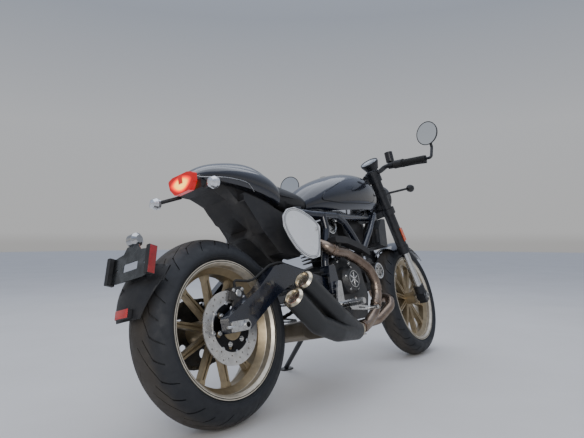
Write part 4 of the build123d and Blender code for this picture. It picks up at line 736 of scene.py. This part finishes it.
# Rear damper
# An oil damper to the left of the wheel, in a slim black body with a seat at each end.
# The coil spring round it is wound from 9 mm wire and painted grey.
SHOCK_FOOT, SHOCK_WAY = Vector((0.322, 0.112, 0.512)), Vector((0.5002, 0, 0.8659))
SLEEVE_FROM, SLEEVE_TO, SLEEVE_RADIUS, BODY_RADIUS = 0.041, 0.179, 0.031, 0.020
SPRING_FROM, SPRING_LONG, COILS, COIL_RADIUS, WIRE_RADIUS = 0.0485, 0.1125, 7, 0.0275, 0.0045
damper_black = finish("damper_black", (0.012, 0.012, 0.013), (0.022, 0.022, 0.023), 0.35, 60)
# The solid has a plain sleeve for its spring, which is drawn in to the body under the coils.
damper = reshape("rear_shock", "damper_body")
for vertex in damper.data.vertices:
    along = (vertex.co - SHOCK_FOOT).dot(SHOCK_WAY)
    arm = vertex.co - SHOCK_FOOT - along * SHOCK_WAY
    if SLEEVE_FROM < along < SLEEVE_TO and arm.length > SLEEVE_RADIUS - 0.001:
        vertex.co -= arm * (1 - BODY_RADIUS / SLEEVE_RADIUS)
mount(damper, "frame", damper_black)
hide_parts("rear_shock")
seat_plate = turn("spring_seats", [(0.0200, 0), (0.0300, 0.0004), (0.0310, 0.0014), (0.0310, 0.0050),
                                   (0.0290, 0.0060)])
mount(repeat(seat_plate, [aim(SHOCK_FOOT + SHOCK_WAY * 0.042, SHOCK_WAY),
                          aim(SHOCK_FOOT + SHOCK_WAY * 0.1779, -SHOCK_WAY)]), "frame", damper_black)
spring = start("damper_spring", bpy.ops.mesh.primitive_circle_add, vertices=12, radius=WIRE_RADIUS,
               location=(COIL_RADIUS, 0, 0), rotation=(math.pi / 2, 0, 0))
bpy.ops.object.transform_apply()
wound = spring.modifiers.new("wound", "SCREW")
wound.screw_offset = SPRING_LONG / COILS
wound.iterations = COILS
wound.steps = wound.render_steps = 28
bpy.ops.object.modifier_apply(modifier="wound")
edit("DESELECT", "EDGE")
bpy.ops.mesh.select_non_manifold()
bpy.ops.mesh.edge_face_add()
faces_out()
mount(repeat(spring, [aim(SHOCK_FOOT + SHOCK_WAY * SPRING_FROM, SHOCK_WAY)
                      @ Matrix.Translation((0, 0, WIRE_RADIUS))]),
      "frame", finish("spring_grey", (0.22, 0.22, 0.23), (0.34, 0.34, 0.35), 0.30, 60, metal=0.8))

# Fork
# Upside-down fork: satin black outer tubes in two cast yokes, ground steel stanchions and
# cast feet. A reflector is stuck to the side of each outer tube.
RAKE, STEERED = math.radians(21.8), math.radians(3.8)
STEER_FOOT, STEER_WAY = Matrix.Translation((1.5299, 0, 0)), Vector((-math.sin(RAKE), 0, math.cos(RAKE)))
TURNED = PARKED @ STEER_FOOT @ Matrix.Rotation(STEERED, 4, STEER_WAY) @ STEER_FOOT.inverted()
RAKED = Matrix.Rotation(-RAKE, 4, "Y")
wear(satin, "fork_yokes", "fork_outer_tubes", "fork_feet")
wear(finish("ground_stanchion", (0.55, 0.55, 0.54), (0.72, 0.72, 0.71), 0.12, 80, metal=1.0, spread=0.04),
     "fork_stanchions")


def prism_lens(name, dark, light):
    """Moulded reflector plastic with a fine pyramid grid behind a clear skin."""
    made = finish(name, dark, light, 0.12, 60, gloss=1.0)
    tree = made.node_tree
    place = fit(tree, "TexCoord").outputs["Object"]
    grid = fit(tree, "TexVoronoi", {"Vector": place, "Scale": 420.0, "Randomness": 0.15})
    shade(tree, {"Normal": raised(tree, grid.outputs["Distance"], 0.5, 0.001)})
    return made


amber_red = prism_lens("orange_reflector", (0.55, 0.06, 0.012), (0.80, 0.11, 0.02))
mount(repeat(block("fork_reflectors", 0.024, 0.074, 0.007, 0.0018, 0.001),
             [Matrix.Translation((1.3028, side * 0.1285, 0.6329)) @ RAKED
              @ Matrix.Rotation(math.radians(-side * 90), 4, "X") for side in (-1, 1)]),
      "steering", amber_red, TURNED)
mount(repeat(cap_screw("yoke_screws", 0.0045),
             [Matrix.Translation((1.2415, side * 0.098, 0.8245)) @ RAKED
              @ Matrix.Translation((0.0445, side * -0.012, high)) @ Matrix.Rotation(math.pi / 2, 4, "Y")
              for side in (-1, 1) for high in (-0.016, 0.016)]), "steering", bright, TURNED)

# Front wheel
# The same casting, narrower, with a smaller treaded tyre and a painted mudguard over it.
# A 330 mm disc is riveted to its carrier on the left.
FRONT_AXLE = Vector((1.43676, 0, 0.2981))
FRONT_HUB = TURNED @ Matrix.Translation(FRONT_AXLE)
wear(banded("front_wheel_bronze", FRONT_HUB, RIM_BANDS, 0.75, 0.36, 0.2), "front_wheel")
wear(banded("front_disc_steel", FRONT_HUB, disc_bands(0.03, 0.131, 0.165), 0.9, 0.30), "front_disc")
front_rivet = turn("front_disc_rivets", [(0.0075, -0.001), (0.0075, 0.0012), (0.0060, 0.0020),
                                         (0.0036, 0.0020), (0.0034, 0.0006)], 16)
mount(repeat(front_rivet, ring_of(9, 0.1305, FRONT_AXLE + Vector((0, 0.0632, 0)), LEFT, 0.1)), "front_wheel",
      bright, TURNED)
front_tread = tyre("front_tyre_tread", 0.300, 0.062, 0.060, 0.0505, 0.70, 0.004)
mount(front_tread, "front_wheel", rubber("front_tyre_rubber", FRONT_HUB, 0.034), FRONT_HUB, angle=40)
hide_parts("front_tyre")
gloss_black = finish("gloss_black_paint", (0.004, 0.005, 0.010), (0.006, 0.008, 0.016), 0.20, 5, gloss=1.0,
                     spread=0.04)
wear(gloss_black, "front_mudguard")

# Tank
# Pressed steel in gloss blue-black, with a round filler cap and a thin panel over each flank.
# A near-black cord round each panel paints the shade in the gap between panel and tank.
wear(gloss_black, "fuel_tank", "tank_panels")
# Matt near-black: painted shade standing for the dark of the gap round each panel.
panel_gap_shade = finish("panel_gap_painted_shade", (0.001, 0.001, 0.001), (0.003, 0.003, 0.003), 0.85, 40)
PANEL_EDGE = [(0.628, 0.790), (0.662, 0.824), (0.803, 0.886), (0.940, 0.914), (1.060, 0.905), (1.058, 0.802),
              (1.000, 0.784), (0.760, 0.776)]


def laid_on(skins, outline, step, sink):
    """Points along a closed outline in the side view, each brought to the right flank's surface."""
    sideways = (LEAN.to_3x3() @ Vector(LEFT)).normalized()
    for (x, z), (next_x, next_z) in zip(outline, outline[1:] + outline[:1]):
        count = max(2, round(math.hypot(next_x - x, next_z - z) / step))
        for number in range(count):
            part_way = (number + 0.5) / count
            start = PARKED @ Vector((x + part_way * (next_x - x), -0.4, z + part_way * (next_z - z)))
            found = [(spot - start).length for hit, spot, *_ in
                     (skin.ray_cast(start, sideways) for skin in skins) if hit]
            if found:
                yield PARKED.inverted() @ (start + sideways * (min(found) + sink))


def both(piece):
    """A piece and its mirror image on the other side of the machine."""
    pair = repeat(piece, [Matrix.Identity(4), Matrix.Scale(-1, 4, LEFT)])
    faces_out()
    return pair


panel_line = list(laid_on((nodes["fuel_tank"], nodes["tank_panels"]), PANEL_EDGE, 0.025, 0.0004))
# The cord along the panel edge is painted shade for the gap.
mount(both(bead("tank_panel_edge", panel_line, 0.0014, True)), "frame", panel_gap_shade)

# Seat
# One foam block under black leather. The cover is pulled tight over the foam, so it crowns between
# its seams, and a corded seam runs along each edge.
leather = finish("seat_leather", (0.011, 0.011, 0.012), (0.021, 0.021, 0.022), 0.46, 90, spread=0.06)
tree = leather.node_tree
spot = fit(tree, "TexCoord").outputs["Object"]
pebble = fit(tree, "TexVoronoi", {"Vector": spot, "Scale": 420.0})
folds = raised(tree, noise(tree, spot, 28.0, 6.0), 0.5, 0.003)
shade(tree, {"Normal": raised(tree, pebble.outputs["Distance"], 0.45, 0.0006, folds)})
SMALLER, VOXEL, FOAM_PRESSURE, FOAM_STEPS, MOST_SWELL = 0.975, 0.005, 4.0, 20, 0.006
cushion = copy_of("seat", "seat_cushion")
weld(0.0001)
leave()
low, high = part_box("seat")
middle = (low + high) / 2
cushion.data.transform(Matrix.Translation(middle) @ Matrix.Scale(SMALLER, 4) @ Matrix.Translation(-middle))
even = cushion.modifiers.new("even", "REMESH")
even.mode = "VOXEL"
even.voxel_size = VOXEL
bpy.ops.object.modifier_apply(modifier="even")
before = [vertex.co.copy() for vertex in cushion.data.vertices]
stuffing = cushion.modifiers.new("stuffing", "CLOTH")
stuffing.settings.use_pressure = True
stuffing.settings.uniform_pressure_force = FOAM_PRESSURE
stuffing.settings.effector_weights.gravity = 0
stuffing.point_cache.frame_start, stuffing.point_cache.frame_end = 1, FOAM_STEPS
for step in range(1, FOAM_STEPS + 1):
    bpy.context.scene.frame_set(step)
bpy.ops.object.modifier_apply(modifier="stuffing")
bpy.context.scene.frame_set(1)
for vertex, was in zip(cushion.data.vertices, before):
    moved = vertex.co - was
    if moved.length > MOST_SWELL:
        vertex.co = was + moved.normalized() * MOST_SWELL
soft = cushion.modifiers.new("soft", "SUBSURF")
soft.levels = soft.render_levels = 1
bpy.ops.object.modifier_apply(modifier="soft")
mount(cushion, "frame", leather, Matrix.Identity(4), angle=60)
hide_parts("seat")
SEAM = [(0.358, 0.1025, 0.792), (0.430, 0.1085, 0.782), (0.500, 0.0970, 0.779), (0.546, 0.0800, 0.777)]
mount(both(bead("seat_piping", SEAM, 0.0022)), "frame", leather)

# Seat cowl and tail
# The cowl is moulded and painted to match the tank. Its lower edge carries a thin bright strip.
# Under it a matt black tray hides the battery and holds the lamps.
wear(gloss_black, "seat_cowl")
TRAY_HALF, TRAY_TOP, SHOULDER = 0.066, 0.770, 0.66
UNDERSIDE = [(-0.040, 0.8064), (-0.022, 0.806), (0.030, 0.799), (0.090, 0.768), (0.112, 0.731),
             (0.128, 0.700), (0.196, 0.661), (0.174, 0.634), (0.180, 0.600), (-0.040, 0.600)]
STRIP = [(-0.028, 0.0655, 0.841), (0.020, 0.0862, 0.840), (0.062, 0.0976, 0.839), (0.095, 0.1016, 0.837),
         (0.121, 0.1052, 0.834), (0.150, 0.1072, 0.830), (0.177, 0.1078, 0.823), (0.203, 0.1000, 0.804),
         (0.212, 0.0960, 0.797)]


def tray_half(height):
    """Half the tray's width: narrow at the foot, then opening out from the shoulder to the cowl."""
    if height < SHOULDER:
        return 0.032 + 0.010 * (height - 0.50) / 0.16
    return 0.042 + 0.024 * (height - SHOULDER) / 0.11


# The solid's flanks are drawn in, and a cutter takes away its underside over the wheel.
tray = reshape("tail_unit", "tail_tray")
for vertex in tray.data.vertices:
    if abs(vertex.co.y) < TRAY_HALF + 0.0005 and vertex.co.z < TRAY_TOP:
        vertex.co.y *= tray_half(vertex.co.z) / TRAY_HALF
cutter = panel("tail_cutter", UNDERSIDE, -TRAY_HALF - 0.0012, TRAY_HALF + 0.0012)
alone(tray)
cut = tray.modifiers.new("underside", "BOOLEAN")
cut.operation, cut.object, cut.solver = "DIFFERENCE", cutter, "EXACT"
bpy.ops.object.modifier_apply(modifier="underside")
bpy.data.objects.remove(cutter)
mount(tray, "frame", moulded, angle=14)
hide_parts("tail_unit")
mount(both(bead("cowl_strip", STRIP, 0.0016)), "frame", bright)

# Lamps
# The tail lamp is lit: a red lens, bright yellow-white inside, with a dark U-shaped light guide.
# The indicators have clear lenses behind, black bodies in front.
LAMP_HALF, LAMP_LOW, LAMP_HIGH = 0.064, 0.800, 0.862
lit = prism_lens("lit_red_lens", (0.20, 0.002, 0.002), (0.30, 0.004, 0.003))
tree = lit.node_tree
where = fit(tree, "SeparateXYZ", {"Vector": local_to(tree, PARKED)})
side = reckon(tree, "DIVIDE", where.outputs["Y"], LAMP_HALF)
rise = share(tree, where.outputs["Z"], LAMP_LOW, LAMP_HIGH, -1.0, 1.0)
spread = reckon(tree, "MULTIPLY", side, share(tree, rise, -1.0, 0.2, 1.5, 1.0))
round_out = fit(tree, "CombineXYZ", {"X": spread, "Y": rise})
away = fit(tree, "VectorMath", {0: round_out.outputs["Vector"]}, operation="LENGTH").outputs["Value"]
glow = tints(tree, away, [(0.0, (1.0, 0.66, 0.16)), (0.52, (1.0, 0.52, 0.07)), (0.66, (1.0, 0.14, 0.012)),
                          (0.78, (0.75, 0.004, 0.001)), (0.97, (0.16, 0.0005, 0.0005))])
in_middle = share(tree, reckon(tree, "ABSOLUTE", side), 0.22, 0.14)
notch = reckon(tree, "MULTIPLY", in_middle, share(tree, rise, -0.05, 0.12))
guide = blended(tree, notch, glow, (0.22, 0.004, 0.003, 1))
shade(tree, {"Emission Color": guide, "Emission Strength": 2.6, "Coat Weight": 0.35})
wear(lit, "tail_light")
clear = finish("clear_lens", (0.62, 0.64, 0.67), (0.86, 0.88, 0.91), 0.10, 70, 0.0006, metal=0.75, gloss=1.0)
wear(clear, "rear_indicator_lenses", "headlight_lens")
wear(moulded, "front_indicators")
wear(satin, "headlight")

# Side plates
# A blank white plate on each flank with a double pin line.
# One post carries it, and one screw shows.
white = finish("white_plate", (0.66, 0.675, 0.69), (0.70, 0.71, 0.72), 0.26, 9, gloss=0.8)
wear(white, "side_plates")
pin_grey = finish("pin_line_grey", (0.022, 0.023, 0.025), (0.035, 0.037, 0.040), 0.35, 40, gloss=0.5)
PLATE_FACE = -0.1598
PLATE_EDGE = [(0.281, 0.690), (0.311, 0.718), (0.356, 0.727), (0.408, 0.714), (0.462, 0.690), (0.508, 0.653),
              (0.469, 0.528), (0.420, 0.520), (0.376, 0.530), (0.330, 0.562), (0.297, 0.606), (0.276, 0.648)]
for number, (inset, thick) in enumerate(((0.0045, 0.0014), (0.0105, 0.0009))):
    line = []
    for (x, z), (back_x, back_z), (next_x, next_z) in zip(
            PLATE_EDGE, PLATE_EDGE[-1:] + PLATE_EDGE[:-1], PLATE_EDGE[1:] + PLATE_EDGE[:1]):
        along = Vector((next_x - back_x, next_z - back_z)).normalized()
        line.append((x + along.y * inset, PLATE_FACE, z - along.x * inset))
    mount(both(bead(f"plate_pin_line_{number}", line, thick, True)), "frame", pin_grey)
side_screw = repeat(cap_screw("side_plate_screws", 0.005), [aim((0.476, PLATE_FACE - 0.0007, 0.640), RIGHT)])
mount(both(side_screw), "frame", bright)

# Licence plate holder
# A matt mudguard on an arm that is bolted to the swinging arm, to the left of the wheel.
# It carries a bracket of pressed zinc-grey sheet, a chromed lamp and three block reflectors.
zinc = finish("zinc_sheet", (0.07, 0.075, 0.08), (0.16, 0.17, 0.18), 0.26, 26, 0.0002, metal=1.0)
wear(zinc, "plate_bracket")
GUARD_OUTER, ARM_FROM, GUARD_END, GUARD_LONGER = 0.347, 0.1115, 48.0, 10


def rear_end(face):
    """Whether a face closes the guard's rear end."""
    arm = face.center - REAR_AXLE
    turned = math.degrees(math.atan2(-arm.x, arm.z))
    return abs(turned - GUARD_END) < 0.15 and abs(face.normal.y) < 0.5


# What stands off the solid's guard is cut away and the holes are closed, and its rear end is drawn on.
guard = reshape("plate_guard", "plate_mudguard")
for vertex in guard.data.vertices:
    arm = vertex.co - REAR_AXLE
    vertex.select = arm.y > ARM_FROM or math.hypot(arm.x, arm.z) > GUARD_OUTER + 0.0008
edit()
bpy.ops.mesh.delete(type="VERT")
bpy.ops.mesh.select_mode(type="EDGE")
bpy.ops.mesh.select_non_manifold()
bpy.ops.mesh.edge_face_add()
choose(guard, rear_end)
bpy.ops.mesh.spin(steps=4, angle=math.radians(GUARD_LONGER), center=REAR_AXLE, axis=(0, 1, 0))
faces_out()
mount(guard, "frame", moulded)
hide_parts("plate_guard")
GUARD_ARM = [(0.090, 0.1663, 0.385), (-0.020, 0.1663, 0.384), (-0.096, 0.1663, 0.381), (-0.150, 0.148, 0.402),
             (-0.215, 0.126, 0.425), (-0.250, 0.118, 0.452), (-0.282, 0.078, 0.474)]
mount(bead("guard_arm", GUARD_ARM, 0.009), "frame", moulded)
mount(repeat(turn("guard_arm_boss", [(0.0130, 0), (0.0130, 0.0195), (0.0118, 0.0210)]),
             [aim((0.090, 0.1545, 0.385), LEFT)]), "frame", moulded)
chrome = finish("chrome", (0.42, 0.42, 0.42), (0.60, 0.60, 0.60), 0.07, 40, metal=1.0, spread=0.03)
wear(chrome, "plate_lamp")
wear(moulded, "plate_reflectors")
side_red = prism_lens("side_reflector_red", (0.20, 0.003, 0.004), (0.34, 0.006, 0.007))
rear_red = prism_lens("rear_reflector_red", (0.42, 0.004, 0.004), (0.62, 0.008, 0.006))
BRACKET_BACK = Matrix.Translation((-0.312, 0, 0.505)) @ Matrix.Rotation(math.radians(16), 4, "Y")
mount(repeat(block("side_reflectors", 0.084, 0.024, 0.0012, 0.0004),
             [BRACKET_BACK @ Matrix.Translation((-0.001, side * 0.1134, 0.045))
              @ Matrix.Rotation(math.pi / 2, 4, "Y") @ Matrix.Rotation(math.radians(side * 90), 4, "X")
              for side in (-1, 1)]), "frame", side_red)
low_face = aim((-0.3493, 0, 0.4079), (-0.9664, 0, 0.2571))
mount(repeat(block("low_reflector", 0.064, 0.026, 0.0014, 0.0004), [low_face]), "frame", rear_red)

# Handlebars and controls
# A short bar clamped to the top of each fork leg, with a ribbed rubber grip and hydraulic levers.
# A round mirror stands on a bent stalk at each bar's end.
wear(satin, "handlebars", "hand_levers", "mirrors")
wear(moulded, "switch_pods")
soft_rubber = finish("grip_rubber", (0.010, 0.010, 0.010), (0.016, 0.016, 0.016), 0.7, 60, 0.0004)
wear(soft_rubber, "grips", "rear_brake_hose", "front_brake_hose")
wear(finish("mirror_silver", (0.75, 0.78, 0.80), (0.80, 0.82, 0.84), 0.03, 5, metal=1.0, spread=0.01),
     "mirror_glasses")
GRIP_FROM, BAR_WAY = Vector((1.16964, 0.278415, 0.967165)), Vector((-0.095418, 0.980203, -0.173487))
RIBS, FIRST_RIB, RIB_PITCH = 20, 0.008, 0.0055
rib = turn("grip_ribs", [(0.0165, -0.0016), (0.0180, -0.0010), (0.0180, 0.0010), (0.0165, 0.0016)], 28)
ribs = repeat(rib, [aim(GRIP_FROM + BAR_WAY * (FIRST_RIB + RIB_PITCH * number), BAR_WAY)
                    for number in range(RIBS)])
mount(both(ribs), "steering", soft_rubber, TURNED)

# Gauge
# One round instrument in a black case: a pale face under clear lacquer, with one thin dark ring.
# A rim is pressed over its edge.
wear(satin, "gauge")
DIAL, DIAL_WAY = Vector((1.268, -0.050, 1.062)), Vector((-0.55, 0, 0.83)).normalized()
DIAL_BANDS = [(0.0, (0.40, 0.43, 0.46)), (0.0279, (0.46, 0.49, 0.52)), (0.0297, (0.10, 0.11, 0.12)),
              (0.0315, (0.42, 0.45, 0.48)), (0.04365, (0.36, 0.39, 0.42)), (0.045, (0.03, 0.03, 0.03))]
dial_hub = TURNED @ aim(DIAL, DIAL_WAY) @ Matrix.Rotation(math.pi / 2, 4, "X")
dial = banded("dial_face", dial_hub, DIAL_BANDS, 0.0, 0.2)
shade(dial.node_tree, {"Coat Weight": 1.0})
face = turn("gauge_dial", [(0.0445, -0.0010), (0.0445, 0.0002), (0.0440, 0.0006), (0.030, 0.0007),
                           (0.0292, 0.0002)], 64)
mount(repeat(face, [aim(DIAL, DIAL_WAY)]), "steering", dial, TURNED)
# The rim is turned as a plug, whose two flat ends are then taken off.
rim = turn("gauge_rim", [(0.0445, -0.0005), (0.0450, 0.0024), (0.0475, 0.0040), (0.0498, 0.0030),
                         (0.0503, -0.002)], 64)
choose(rim, lambda end: len(end.vertices) > 4)
bpy.ops.mesh.delete(type="ONLY_FACE")
leave()
mount(repeat(rim, [aim(DIAL, DIAL_WAY)]), "steering", satin, TURNED)
